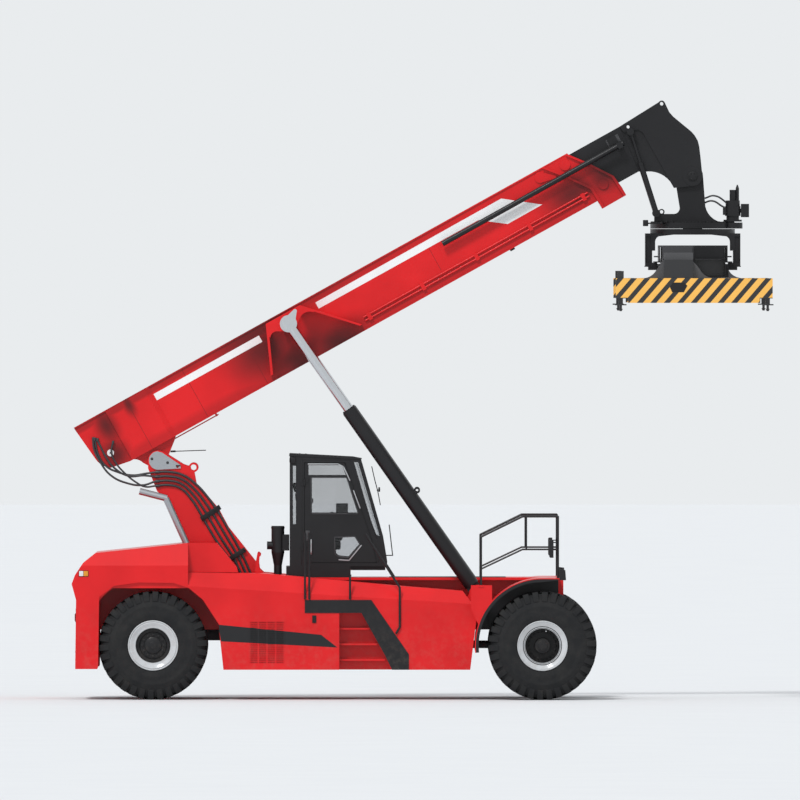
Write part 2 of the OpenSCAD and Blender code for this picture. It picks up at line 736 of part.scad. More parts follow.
// Tyre with lugs, its middle plane at y
bead_r = rim_r - 30;
module tyre(x, y) {
  half = tyre_w / 2;
  step = 360 / lug_count;
  root = tyre_d / 2 - lug_depth;
  // Each lug covers the share from its first angle to its second
  teeth = [for (i = [0 : lug_count - 1], c = [[0, root], [0.06, 1], [0.62, 1], [0.68, root]])
    let (a = (i + c[0]) * step, r = c[1] == 1 ? tyre_d / 2 : c[1]) [r * cos(a), r * sin(a)]];
  on_axle(x, y) difference() {
    union() {
      translate([0, 0, -half + 45]) linear_extrude(height = tyre_w - 90) polygon(teeth);
      rotate_extrude($fn = 32) polygon([[bead_r + fit, -half + 20], [rim_r + 60, -half], [root, -half + 45],
        [root, half - 45], [rim_r + 60, half], [bead_r + fit, half - 20]]);
    }
    translate([0, 0, -half - cut]) cylinder(r = bead_r + fit, h = tyre_w + 2 * cut, $fn = fine);
    for (m = [0, 1]) mirror([0, 0, m]) translate([0, 0, half - 24])
      cylinder(r = rim_r + fit, h = 100, $fn = fine);
  }
}

module steer_tyre(s) {
  color(rubber) side(s) tyre(steer_axle_x, steer_tyre_y);
}
module steer_tyre_left() {
  steer_tyre(1);
}
module steer_tyre_right() {
  steer_tyre(-1);
}
module drive_tyres(s) {
  color(rubber) side(s) for (y = [drive_tyre_y, drive_tyre_y + tyre_w + twin_gap]) tyre(drive_axle_x, y);
}
module drive_tyres_left() {
  drive_tyres(1);
}
module drive_tyres_right() {
  drive_tyres(-1);
}

// Rim barrel with flanges about the axle's own line
module rim_barrel() {
  half = tyre_w / 2;
  rotate_extrude($fn = 64) polygon([[bead_r - 40, -half + 20], [rim_r, -half + 4], [rim_r, -half + 24],
    [bead_r, -half + 24], [bead_r, half - 24], [rim_r, half - 24], [rim_r, half - 4],
    [bead_r - 40, half - 20], [bead_r - 60, half - 90], [bead_r - 60, -half + 90]]);
}

// Steer rim: a dished disc outboard, and a hub on the knuckle's stub
module steer_rim(s) {
  half = tyre_w / 2;
  disc_r = bead_r - 59;
  color(silver) side(s) on_axle(steer_axle_x, steer_tyre_y) difference() {
    union() {
      rim_barrel();
      translate([0, 0, 30]) cylinder(r = disc_r, h = 30, $fn = 64);
      translate([0, 0, -60]) cylinder(r = 150, h = 200, $fn = fine);
    }
    translate([0, 0, -61]) cylinder(r = 90 + fit, h = 182, $fn = fine);
  }
}
module steer_rim_left() {
  steer_rim(1);
}
module steer_rim_right() {
  steer_rim(-1);
}

// Twin drive rims with their hub and the spacer between them
module drive_rims(s) {
  pitch = tyre_w + twin_gap;
  disc_r = bead_r - 59;
  color(silver) side(s) on_axle(drive_axle_x, drive_tyre_y) difference() {
    union() {
      rim_barrel();
      translate([0, 0, pitch]) rim_barrel();
      translate([0, 0, 200]) cylinder(r = disc_r, h = 30, $fn = 64);
      translate([0, 0, pitch - 30]) cylinder(r = disc_r, h = 30, $fn = 64);
      translate([0, 0, -280]) cylinder(r = 220, h = pitch + 200, $fn = fine);
    }
    translate([0, 0, -281]) cylinder(r = 100 + fit, h = 281 + 421, $fn = fine);
  }
}
module drive_rims_left() {
  drive_rims(1);
}
module drive_rims_right() {
  drive_rims(-1);
}

// Mouth of the outer boom
mouth_u = 7831;

// Outer boom: a box that the inner boom slides in
module outer_boom() {
  lip = 22;
  lip_t = 20;
  box = 60;
  rear_line = concat([[-380, boom_low]], arc([-520, 520], 316, 236, 184, 5), [[-892, 1040], [-892, boom_top],
    [mouth_u, boom_top], [mouth_u, boom_low]]);
  color(red) on_boom() {
    difference() {
      slab(rear_line, -boom_y, boom_y);
      slab([[-370, boom_low + boom_t], [-660, 300], [-816, 560], [-872, boom_top - boom_t],
        [mouth_u + cut, boom_top - boom_t], [mouth_u + cut, boom_low + boom_t]], -boom_y + boom_t, boom_y - boom_t);
    }
    // Flange plates that stand past the sides at the top and the bottom
    both() block([-892, boom_y - 1, boom_top - lip_t], [mouth_u, boom_y + lip, boom_top]);
    both() block([-380, boom_y - 1, boom_low], [mouth_u, boom_y + lip, boom_low + lip_t]);
    // Lugs down to the pivot
    both() difference() {
      union() {
        slab(concat([[-320, boom_low + 1]], arc([-395, 35], 180, 60, 15, 4), arc([0, 0], 155, 190, 350, 12),
          [[390, 165], [420, boom_low + 1]]), tower_y - gap - 60, tower_y - gap);
        bar_y(0, 0, 155, tower_y - gap - 60, tower_y - gap);
      }
      bar_y(0, 0, 70 + fit, 0, 500);
    }
    // Boxes at the rear, square behind and slanting back to the side in front
    both() translate([0, 0, boom_low]) linear_extrude(height = boom_top - boom_low - lip_t + 1)
      polygon([[-345, boom_y - 1], [-345, boom_y + box], [350, boom_y + box], [440, boom_y - 1]]);
    // Boss behind the boxes, with its hole
    both() difference() {
      bar_y(-585, 460, 55, boom_y - 1, boom_y + 14);
      bar_y(-585, 460, 13, boom_y, boom_y + 40);
    }
  }
}

// Collar at the mouth of the outer boom, with its wear pads
module boom_collar() {
  side_t = 16;
  flange = 60;
  flange_t = 40;
  side_in = boom_y - boom_t;
  front = [[mouth_u, boom_top - 20], [mouth_u + 199, 800], [mouth_u + 457, 419], [mouth_u + 482, 65]];
  rear = [[mouth_u - 450, boom_top - 20], [mouth_u - 255, 823], [mouth_u + 44, 413], [mouth_u + 58, 60]];
  color(dark) on_boom() both() {
    block([mouth_u + 119, 120, boom_low + boom_t - 1], [mouth_u + 419, 280, inner_low - fit]);
    block([mouth_u + 19, inner_y + fit, 500], [mouth_u + 219, side_in + 1, 800]);
  }
  color(red) on_boom() {
    both() {
      slab(concat(rear, [for (i = [3 : -1 : 0]) front[i]]), boom_y, boom_y + side_t);
      slab([front[0], front[1], front[2], [front[3][0], boom_low], [mouth_u, boom_low]], side_in, boom_y + 1);
      slab(strip(front, -flange_t), boom_y + side_t - 1, boom_y + flange);
      slab(strip(rear, flange_t), boom_y + side_t - 1, boom_y + flange);
      // Bosses and the lug behind the rear flange
      bar_y(mouth_u - 121, 932, 83, boom_y + side_t - 1, boom_y + 42);
      bar_y(mouth_u + 252, 385, 77, boom_y + side_t - 1, boom_y + 42);
      slab(lug([mouth_u - 547, 952], 88, [mouth_u - 344, 845], 22), boom_y, boom_y + 22);
    }
    // Floor and the plates below it
    block([mouth_u, -side_in - 1, boom_low], [front[3][0], side_in + 1, boom_low + boom_t]);
    for (u = [rear[3][0], front[3][0] - flange_t])
      block([u, -boom_y - 1, 65], [u + flange_t, boom_y + 1, boom_low + 1]);
  }
}

// Brackets that the lift cylinders push on
module boom_brackets() {
  rib_t = 40;
  web_t = 25;
  web_y = lift_y - barrel_d / 2 - 14;
  rear = [[lift_eye_u - 309, boom_top - 40], [lift_eye_u - 629, 296]];
  front = [[lift_eye_u + 289, boom_top - 40], [lift_eye_u + 988, 304]];
  color(red) on_boom() both() {
    // Ribs square to the side, and the web between them with its two arched cut-outs
    slab(strip(rear, rib_t), boom_y, web_y);
    slab(strip(front, -rib_t), boom_y, web_y);
    slab(concat([rear[0], [lift_eye_u - 372, 890]], arc([lift_eye_u - 262, 765], 100, 150, 60, 5),
      arc([lift_eye_u, lift_eye_v], 125, 225, 320, 6), arc([lift_eye_u + 300, 735], 158, 130, 35, 6),
      [[lift_eye_u + 436, 880], front[0]]), web_y - web_t, web_y);
    // Tube that carries the cylinder's pin
    difference() {
      bar_y(lift_eye_u, lift_eye_v, 118, boom_y, lift_y - eye_w / 2 - 15);
      bar_y(lift_eye_u, lift_eye_v, 75 + fit, boom_y + 60, lift_y);
    }
  }
}

// Hydraulic pipes along the lower edge of the boom's sides, and the drain pipe under its rear
module boom_pipes() {
  r = 15;
  y = boom_y + 26;
  start = lift_eye_u + 1060;
  end = mouth_u - 20;
  color(red) on_boom() {
    both() {
      for (v = [330, 390]) translate([start, y, v]) rotate([0, 90, 0]) cylinder(r = r, h = end - start, $fn = 16);
      for (i = [0 : 4]) {
        u = start + 60 + (end - start - 180) * i / 4;
        block([u, boom_y, 300], [u + 60, y + r + 6, 420]);
      }
    }
    translate([340, 150, 168]) rotate([0, 90, 0]) cylinder(r = 9, h = 820, $fn = 16);
    for (u = [350, 1110]) block([u, 136, 155], [u + 30, 164, boom_low]);
  }
}

// Seam between the inner boom's box and its nose, at the box's underside and top
seam_low = head_u - 693;
seam_high = head_u - 621;
// Inner boom, with wear pads at its rear end
module inner_boom() {
  color(black) on_boom() {
    difference() {
      slab([[500, inner_low], [500, inner_top], [seam_high, inner_top], [seam_low, inner_low]], -inner_y, inner_y);
      block([500 - cut, -inner_y + boom_t, inner_low + boom_t],
        [seam_low - 160, inner_y - boom_t, inner_top - boom_t]);
    }
    both() {
      block([520, 120, inner_top - 1], [820, 280, boom_top - boom_t - fit]);
      block([520, 120, boom_low + boom_t + fit], [820, 280, inner_low + 1]);
      block([520, inner_y - 1, 500], [820, boom_y - boom_t - fit, 800]);
    }
    // Junction box beside the hose tube, and the strap round the end of the box
    slab([[seam_low - 195, 840], [seam_low - 195, 965], [seam_low - 50, 965], [seam_low - 50, 840]],
      -inner_y - 70, -inner_y + 1);
    both() slab([[seam_low - 24, inner_low], [seam_high - 24, inner_top], [seam_high, inner_top],
      [seam_low, inner_low]], inner_y - 1, inner_y + 10);
  }
}

// Nose plates that reach down to the head pivot
module boom_nose() {
  skin = 30;
  web_r = 420;
  web_at = [head_u - 755, 25 - head_drop];
  tip = [head_u + 127, 1212 - head_drop];
  eye = [head_u - 500, 1152 - head_drop];
  // Front edge from the tip down to the head pivot
  front = [for (p = [[165, 1044], [185, 950], [319, 608], [334, 530], [335, 440], [311, 351], [242, 183], [130, -75]])
    [head_u + p[0], p[1] - head_drop]];
  foot = [[head_u - 65, -135 - head_drop], [head_u - 339, -18 - head_drop]];
  color(black) on_boom() {
    both() difference() {
      union() {
        // Side plate with its arched underside
        slab(concat([[seam_high, inner_top]], arc(tip, 50, 119, -10, 6), front, foot,
          arc(web_at, web_r, -3, 70, 10), [[seam_low, inner_low]]), inner_y - 2 * skin, inner_y - skin);
        // Doubler plate over the front of it
        slab(concat([[seam_high, inner_top]], arc(tip, 50, 119, -10, 6), front, foot,
          [[head_u - 345, 960 - head_drop], [head_u - 385, 1040 - head_drop], [head_u - 450, 1068 - head_drop],
          [seam_high + 20, 1110 - head_drop]]), inner_y - skin - 1, inner_y);
        bar_y(head_u, -head_drop, 150, inner_y - 2 * skin, inner_y + 8);
        bar_y(damper_u, damper_v, 60, inner_y - skin - 1, damper_y - damper_eye / 2 - gap);
      }
      bar_y(tip[0], tip[1], 28, 0, 500);
      bar_y(eye[0], eye[1], 25, 0, 500);
      bar_y(head_u, -head_drop, 90 + fit, 0, 500);
    }
    // Cross plates at the seam and the front, and the curved web under the sides
    slab([[seam_high + 1, inner_low + 10], [seam_high + 1, inner_top - 10], [seam_high + 31, inner_top - 10],
      [seam_high + 31, inner_low + 10]], -inner_y + 2 * skin - 1, inner_y - 2 * skin + 1);
    slab([[head_u + 87, 960], [head_u + 207, 500], [head_u + 177, 490], [head_u + 57, 950]],
      -inner_y + 2 * skin - 1, inner_y - 2 * skin + 1);
    slab(concat(arc(web_at, web_r, 25, 70, 6), arc(web_at, web_r + 16, 70, 25, 6)),
      -inner_y + 2 * skin - 1, inner_y - 2 * skin + 1);
  }
}

// Hose tube along the side of the boom
module hose_tube() {
  y = -boom_y - 110;
  v = 788;
  r = 42;
  start = 5465;
  end = seam_low + 4;
  color(black) on_boom() {
    translate([start, y, v]) rotate([0, 90, 0]) cylinder(r = r, h = end - start, $fn = 24);
    block([end - 104, y - r - 3, v - 50], [end - 24, -inner_y, v + 50]);
  }
}

// Lift cylinder in its own frame: x along the cylinder from the lower pin
module on_lift(s) {
  side(s) translate([lift_pin_x, lift_y, lift_pin_z]) rotate([0, -lift_tilt, 0]) children();
}
barrel_len = 3455;
eye_r = 132;
module lift_barrel(s) {
  color(black) on_lift(s) difference() {
    union() {
      rotate([90, 0, 0]) translate([0, 0, -eye_w / 2]) cylinder(r = eye_r, h = eye_w, $fn = fine);
      translate([160, 0, 0]) rotate([0, 90, 0]) cylinder(d = barrel_d, h = barrel_len - 160, $fn = fine);
      block([60, -eye_w / 2, -100], [161, eye_w / 2, 100]);
    }
    rotate([90, 0, 0]) translate([0, 0, -eye_w]) cylinder(r = 75 + fit, h = 2 * eye_w, $fn = fine);
    translate([200, 0, 0]) rotate([0, 90, 0]) cylinder(d = rod_d + 40, h = barrel_len - 320, $fn = fine);
    translate([200, 0, 0]) rotate([0, 90, 0]) cylinder(d = rod_d + 2 * fit, h = barrel_len, $fn = fine);
  }
}
module lift_barrel_left() {
  lift_barrel(1);
}
module lift_barrel_right() {
  lift_barrel(-1);
}
rod_len = 3420;
module lift_rod(s) {
  // Keeper plate over the pin, its narrow end up and ahead
  keeper_end = [104, -196];
  color(silver) on_lift(s) translate([lift_len, 0, 0]) {
    rotate([90, 0, 0]) translate([0, 0, -eye_w / 2]) cylinder(r = eye_r, h = eye_w, $fn = fine);
    translate([-rod_len, 0, 0]) rotate([0, 90, 0]) cylinder(d = rod_d, h = rod_len - 100, $fn = fine);
    translate([-rod_len, 0, 0]) rotate([0, 90, 0]) cylinder(d = rod_d + 40 - 2 * fit, h = 90, $fn = fine);
    difference() {
      slab(lug([0, 0], 106, keeper_end, 30), eye_w / 2 - 1, eye_w / 2 + 14);
      for (k = [0, 0.28]) bar_y(keeper_end[0] * (1 - k), keeper_end[1] * (1 - k), 11, eye_w / 2 + 4, eye_w);
    }
  }
}
module lift_rod_left() {
  lift_rod(1);
}
module lift_rod_right() {
  lift_rod(-1);
}

module on_head() {
  translate([head_x, 0, head_z]) children();
}

// Height of the ring's raised middle, which the motors stand on
ring_step = 14;

// Yoke that hangs from the head pivot and carries the slewing ring
module yoke() {
  yoke_y = inner_y - 60 - gap;
  ear = [-479, -550];
  color(black) on_head() difference() {
    union() {
      bar_y(0, 0, 90, -inner_y - 8, inner_y + 8);
      slab(concat(arc([-45, 0], 205, 0, 180, 12), [[-246, -194]], arc([-290, -490], 92, 0, -90, 6),
        [[-588, -582], [-593, -618], [-593, ring_top], [520, ring_top]], arc([500, -405], 310, 270, 180, 8)),
        -yoke_y, yoke_y);
      // Lifting rings at the corner
      both() bar_y(ear[0], ear[1], 45, yoke_y - 40, yoke_y);
      translate([0, 0, ring_low + 95]) cylinder(r = ring_r, h = ring_top - ring_low - 95, $fn = 72);
      translate([0, 0, ring_top - ring_step]) cylinder(r = ring_r - 40, h = 2 * ring_step, $fn = 72);
      both() translate([motor_x, motor_y, ring_low + 95]) cylinder(r = 150, h = ring_top - ring_low - 95, $fn = fine);
      // Arms out to the dampers
      both() bar_y(damper_low[0], damper_low[1], 60, yoke_y - 1, damper_y - 50);
      both() bar_y(damper_low[0], damper_low[1], 30, damper_y - 51, damper_y + 50);
    }
    translate([0, 0, ring_low]) cylinder(r = 150 + fit, h = 180, $fn = fine);
    bar_y(ear[0], ear[1], 27, -yoke_y - cut, yoke_y + cut);
  }
}

// Slewing motors on the yoke's ring
module slew_motors() {
  // Gearbox, then the stacked pieces of the motor: radius, height over the ring and length
  stack = [[140, ring_step, 44 - ring_step], [96, 43, 60], [118, 102, 150], [108, 251, 90], [46, 340, 165]];
  color(black) on_head() both() translate([motor_x, motor_y, ring_top]) {
    for (p = stack) translate([0, 0, p[1]]) cylinder(r = p[0], h = p[2], $fn = fine);
    // Valve block behind, brake ahead and the breather beside the motor
    translate([-150, -50, 118]) cube([60, 100, 110]);
    block([100, -18, 150], [130, 18, 215]);
    block([129, -55, 82], [250, 55, 288]);
    translate([72, 0, 300]) cylinder(r = 24, h = 230, $fn = 24);
    translate([72, 0, 529]) cylinder(r1 = 24, r2 = 6, h = 54, $fn = 24);
  }
}

// Damper between the boom nose and the yoke
damper_barrel_len = 820;
damper_rod_len = 862;
module on_damper(s) {
  side(s) on_head() translate([damper_low[0], damper_y, damper_low[1]]) rotate([0, -damper_tilt, 0]) children();
}
module damper_barrel(s) {
  color(black) on_damper(s) difference() {
    union() {
      rotate([90, 0, 0]) translate([0, 0, -damper_eye / 2]) cylinder(r = 60, h = damper_eye, $fn = fine);
      translate([40, 0, 0]) rotate([0, 90, 0]) cylinder(r = damper_r, h = damper_barrel_len - 40, $fn = fine);
      translate([damper_barrel_len - 50, 0, 0]) rotate([0, 90, 0]) cylinder(r = damper_r + 4, h = 50, $fn = fine);
    }
    rotate([90, 0, 0]) translate([0, 0, -100]) cylinder(r = 30 + fit, h = 200, $fn = fine);
    translate([60, 0, 0]) rotate([0, 90, 0]) cylinder(r = 25 + fit, h = 900, $fn = fine);
  }
}
module damper_barrel_left() {
  damper_barrel(1);
}
module damper_barrel_right() {
  damper_barrel(-1);
}
module damper_rod(s) {
  color(black) on_damper(s) translate([damper_len, 0, 0]) {
    rotate([90, 0, 0]) translate([0, 0, -damper_eye / 2]) cylinder(r = 55, h = damper_eye, $fn = fine);
    translate([-damper_rod_len, 0, 0]) rotate([0, 90, 0])
      cylinder(r = 25, h = damper_rod_len - 40, $fn = fine);
  }
}
module damper_rod_left() {
  damper_rod(1);
}
module damper_rod_right() {
  damper_rod(-1);
}

// Turntable below the slewing ring, with the legs that hold the spreader
leg_low = -1386;
// Top of the clamps that the spreader's frame slides on
rail_z = -1334;
module turntable() {
  plate_in = 380;
  plate_out = 440;
  leg_out = 735;
  leg_in = 627;
  arch_x = 581;
  clamp_in = 548;
  color(black) on_head() {
    difference() {
      translate([0, 0, ring_low]) cylinder(r = ring_r, h = 89, $fn = 72);
      translate([0, 0, ring_low - 1]) cylinder(r = 100, h = 40, $fn = fine);
    }
    translate([0, 0, ring_low + 88]) cylinder(r = 150, h = 85, $fn = fine);
    // Arched plates on both sides, and the legs at their ends
    both() slab(concat([[-leg_in - 20, ring_low + 20], [-leg_in - 20, -1150], [-arch_x, -1150]],
      arc([-arch_x + 95, -1015], 95, 180, 115, 4), [[-424, -918], [-294, ring_low], [294, ring_low], [424, -918]],
      arc([arch_x - 95, -1015], 95, 65, 0, 4), [[arch_x, -1150], [leg_in + 20, -1150], [leg_in + 20, ring_low + 20]]),
      plate_in, plate_out);
    for (m = [0, 1]) mirror([m, 0, 0]) {
      difference() {
        block([-leg_out, -plate_out, leg_low], [-leg_in, plate_out, ring_low + 20]);
        for (t = [0, 1]) mirror([0, t, 0])
          block([-leg_out + 14, plate_out - 26, leg_low + 48], [-leg_in - 14, plate_out + cut, ring_low - 28]);
      }
      block([-leg_out - 8, -plate_out - 8, leg_low - 14], [-leg_in + 8, plate_out + 8, leg_low]);
      // Clamp under the slide rail of the spreader's frame
      block([-leg_in - 1, -plate_out, -1450], [-clamp_in, plate_out, rail_z]);
      block([-leg_in - 60, -plate_out, -1450], [-leg_in, plate_out, leg_low - 13]);
    }
  }
}

// Main frame of the spreader, which slides across under the turntable
frame_top = -1069;
frame_low = -1565;
arm_top = -1290;
// Width that an arm takes, from the middle of the machine outwards
lane_in = 20;
lane_out = 464;
module spreader_frame() {
  half = 528;
  post_t = 18;
  tube = 482;
  middle = 1450;
  reach = 2700;
  color(black) on_head() difference() {
    union() {
      // Tubes that the arms slide in, deeper in the middle
      block([-tube, -reach, frame_low], [tube, reach, arm_top + 20]);
      block([-tube, -middle, frame_low], [tube, middle, frame_top]);
      // Top plate, side plates and slide rails of the middle
      block([-half, -middle, frame_top - 26], [half, middle, frame_top]);
      // Plates on the ends of the middle: one over the arm that is out there, and a band beside it
      for (m = [0, 1]) rotate([0, 0, 180 * m]) {
        block([lane_in - 3, middle - 1, arm_top + 19], [lane_out + 6, middle + 20, frame_top - 26]);
        block([-455, middle - 1, -1261], [-38, middle + 20, -1113]);
      }
      for (m = [0, 1]) mirror([m, 0, 0]) {
        block([-half, -middle, -1320], [-half + post_t, middle, frame_top]);
        block([-590, -middle, -1253], [-half + 1, middle, -1231]);
        block([-tube - 60, -middle, frame_low], [-tube + 1, middle, -1455 + 100]);
        block([-600, -middle, rail_z + fit], [-tube + 1, middle, rail_z + 18]);
      }
    }
    // Slots for the two arms
    for (m = [0, 1]) mirror([m, 0, 0])
      block([-lane_out - 4, -reach - cut, frame_low + 20], [-lane_in + 4, reach + cut, arm_top + 6]);
  }
  // Wear pads under the arms
  color(dark) on_head() for (m = [0, 1]) rotate([0, 0, 180 * m])
    block([100, 2550, frame_low + 19], [400, 2690, frame_low + 26 - fit]);
}

// Arm with its end beam and twistlocks
module spreader_arm(s) {
  top = -beam_drop;
  low = top - beam_h;
  lock_foot = low - 38;
  notch = 68;
  plate_z = -1180;
  color(black) on_head() rotate([0, 0, s > 0 ? 0 : 180]) {
    block([lane_in, -2300, frame_low + 26], [lane_out, lock_y - 100, arm_top]);
    block([lane_in, lock_y - 110, low + 50], [lane_out, lock_y + 60, arm_top]);
    // End plate that spreads down to the end beam, low enough to pass under the boom
    slab(concat([[lane_in - 3, plate_z], [lane_out + 6, plate_z]],
      [[lane_out + 6, -1290], [508, -1334], [560, -1420]], arc([790, -1340], 234, 205, 262, 5), [[760, top + 1]],
      [[-279, top + 1]], arc([-290, -1345], 222, 278, 335, 5), [[-38, -1371], [lane_in - 3, -1316]]),
      lock_y - 168, lock_y - 101);
  }
  color(yellow) on_head() rotate([0, 0, s > 0 ? 0 : 180]) {
    // End beam, its lower corners cut away over the twistlocks
    difference() {
      block([-beam_w / 2, lock_y - 100, low], [beam_w / 2, lock_y + 100, top]);
      for (m = [0, 1]) mirror([m, 0, 0])
        block([-beam_w / 2 - cut, lock_y - 100 - cut, low - cut],
          [-beam_w / 2 + 190, lock_y + 100 + cut, low + notch]);
    }
    for (x = [-lock_w / 2, lock_w / 2]) {
      block([x - 34, lock_y - 34, low - 20], [x + 34, lock_y + 34, low + notch + 1]);
      block([x - 88, lock_y - 88, lock_foot], [x + 88, lock_y + 88, lock_foot + 19]);
      translate([x, lock_y, low - 92]) cylinder(r = 20, h = 100, $fn = 24);
      // Turning head of the lock
      translate([x, lock_y, low - 128]) cylinder(r1 = 16, r2 = 34, h = 37, $fn = fine);
    }
    // Sensor box over the rear lock
    block([-s * lock_w / 2 - 46, lock_y - 46, top - 1], [-s * lock_w / 2 + 46, lock_y + 46, top + 112]);
  }
}
module spreader_arm_left() {
  spreader_arm(1);
}
module spreader_arm_right() {
  spreader_arm(-1);
}

frame();
deck();
counterweight();
side_bodies();
hood();
grilles();
tower();
tower_plates();
tower_hoses();
pins();
drive_axle();
steer_axle();
engine();
fenders();
steps();
railings();
exhaust();
air_cleaner();
cab_shell();
cab_glass();
cab_seat();
lamps();
cab_door_left();
cab_door_right();
door_glass_left();
door_glass_right();
knuckle_left();
knuckle_right();
steer_tyre_left();
steer_tyre_right();
steer_rim_left();
steer_rim_right();
drive_tyres_left();
drive_tyres_right();
drive_rims_left();
drive_rims_right();
outer_boom();
boom_collar();
boom_brackets();
boom_pipes();
inner_boom();
boom_nose();
hose_tube();
lift_barrel_left();
lift_barrel_right();
lift_rod_left();
lift_rod_right();
yoke();
slew_motors();
damper_barrel_left();
damper_barrel_right();
damper_rod_left();
damper_rod_right();
turntable();
spreader_frame();
spreader_arm_left();
spreader_arm_right();
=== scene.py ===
"""Container reach stacker: finishes, tyres, glazing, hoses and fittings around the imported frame."""
import json
import math

import bmesh
import bpy
from mathutils import Matrix, Vector


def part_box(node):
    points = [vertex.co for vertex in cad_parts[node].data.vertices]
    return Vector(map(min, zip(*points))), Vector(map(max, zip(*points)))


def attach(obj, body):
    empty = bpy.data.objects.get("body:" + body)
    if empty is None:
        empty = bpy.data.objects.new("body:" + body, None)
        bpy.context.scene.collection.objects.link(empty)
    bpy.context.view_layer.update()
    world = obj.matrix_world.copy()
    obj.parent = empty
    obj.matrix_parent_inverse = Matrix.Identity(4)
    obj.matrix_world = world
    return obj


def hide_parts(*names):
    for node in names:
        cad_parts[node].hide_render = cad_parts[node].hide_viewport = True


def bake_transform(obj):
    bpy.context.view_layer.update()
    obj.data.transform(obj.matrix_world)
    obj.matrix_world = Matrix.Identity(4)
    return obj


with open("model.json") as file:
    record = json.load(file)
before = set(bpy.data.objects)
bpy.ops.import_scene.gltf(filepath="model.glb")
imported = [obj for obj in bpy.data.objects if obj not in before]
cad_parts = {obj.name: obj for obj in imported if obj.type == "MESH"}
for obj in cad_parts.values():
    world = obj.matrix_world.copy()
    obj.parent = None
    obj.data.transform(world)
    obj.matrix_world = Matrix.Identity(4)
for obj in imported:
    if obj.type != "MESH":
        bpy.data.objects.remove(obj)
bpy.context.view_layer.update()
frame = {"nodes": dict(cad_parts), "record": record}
scene = bpy.context.scene

# Millimetres, the unit that the machine is drawn in
MM = 0.001
JOINTS = {j["name"]: j for j in frame["record"]["behaviour"]["joints"]}


def place_of(joint):
    """Where a joint turns, in metres."""
    return Vector(JOINTS[joint]["pos_m"])


PIVOT = place_of("boom_lift")
BOOM_DIR = Vector(JOINTS["boom_extend"]["axis"])
HEAD = place_of("head_tilt")
DRIVE_AXLE = place_of("drive_right")
BOOM_PITCH = math.atan2(BOOM_DIR.z, BOOM_DIR.x)
ON_BOOM = Matrix.Translation(PIVOT) @ Matrix.Rotation(-BOOM_PITCH, 4, "Y")
ON_HEAD = Matrix.Translation(HEAD)
BODY_SIDE = 1.65
DECK_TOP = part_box("deck")[1].z
ARCH_R = DECK_TOP - DRIVE_AXLE.z
FENDER_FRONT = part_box("fenders")[1].x
CAB_SIDE = 0.74
BOOM_SIDE = 0.36


def linear(code):
    """A sRGB hex colour as linear red, green, blue and alpha."""
    parts = [int(code[i : i + 2], 16) / 255 for i in (1, 3, 5)]
    return tuple(c / 12.92 if c <= 0.04045 else ((c + 0.055) / 1.055) ** 2.4 for c in parts) + (1,)


def feed(tree, socket, value):
    """Gives a socket a link or a value, which may be a hex colour."""
    if isinstance(value, bpy.types.NodeSocket):
        tree.links.new(value, socket)
    else:
        socket.default_value = linear(value) if isinstance(value, str) else value


def add(tree, kind, links=None, **settings):
    """A shader node with its settings and links."""
    made = tree.nodes.new(kind)
    for key, value in settings.items():
        setattr(made, key, value)
    for key, value in (links or {}).items():
        feed(tree, made.inputs[key], value)
    return made


def new_material(name, **shader):
    """A material with a Principled shader, its tree and the coordinates of the object."""
    mat = bpy.data.materials.new(name)
    mat.use_nodes = True
    tree = mat.node_tree
    bsdf = tree.nodes["Principled BSDF"]
    for key, value in shader.items():
        bsdf.inputs[key.replace("_", " ")].default_value = value
    where = add(tree, "ShaderNodeTexCoord").outputs["Object"]
    return mat, tree, bsdf, where


def ramp(tree, fac, stops):
    """A colour ramp from a list of places and hex colours or greys."""
    made = add(tree, "ShaderNodeValToRGB", {"Fac": fac})
    bar = made.color_ramp
    while len(bar.elements) < len(stops):
        bar.elements.new(0.5)
    for element, (at, tone) in zip(bar.elements, stops):
        element.position = at
        element.color = linear(tone) if isinstance(tone, str) else (tone, tone, tone, 1)
    return made.outputs["Color"]


def mix(tree, fac, a, b):
    """Two colours mixed; each is a socket or a hex colour."""
    made = add(tree, "ShaderNodeMix", data_type="RGBA")
    for socket, value in ((0, fac), (6, a), (7, b)):
        feed(tree, made.inputs[socket], value)
    return made.outputs[2]


def colour(tree, bsdf, fac, a, b):
    """Paints a shader with two colours mixed."""
    tree.links.new(mix(tree, fac, a, b), bsdf.inputs["Base Color"])


def calc(tree, what, *values, clamp=False):
    """A sum on numbers or sockets."""
    made = add(tree, "ShaderNodeMath", operation=what, use_clamp=clamp)
    for socket, value in zip(made.inputs, values):
        feed(tree, socket, value)
    return made.outputs[0]


def above(tree, value, limit):
    """1 where a value is more than a limit, and 0 elsewhere."""
    return calc(tree, "GREATER_THAN", value, limit)


def below(tree, value, limit):
    """1 where a value is less than a limit, and 0 elsewhere."""
    return calc(tree, "LESS_THAN", value, limit)


def every(tree, *masks):
    """Masks or shares multiplied together."""
    product = masks[0]
    for mask in masks[1:]:
        product = calc(tree, "MULTIPLY", product, mask)
    return product


def axes_of(tree, where):
    """The x, y and z of a place."""
    return add(tree, "ShaderNodeSeparateXYZ", {"Vector": where}).outputs


def noise(tree, where, scale, detail=3.0, rough=0.55):
    """Cloudy noise whose waves are 1 / scale metres across."""
    settings = {"Vector": where, "Scale": scale, "Detail": detail, "Roughness": rough}
    return add(tree, "ShaderNodeTexNoise", settings).outputs["Fac"]


def bump(tree, bsdf, height, depth):
    """Relief whose full depth is given in metres."""
    made = add(tree, "ShaderNodeBump", {"Height": height, "Distance": depth, "Strength": 1.0})
    tree.links.new(made.outputs["Normal"], bsdf.inputs["Normal"])


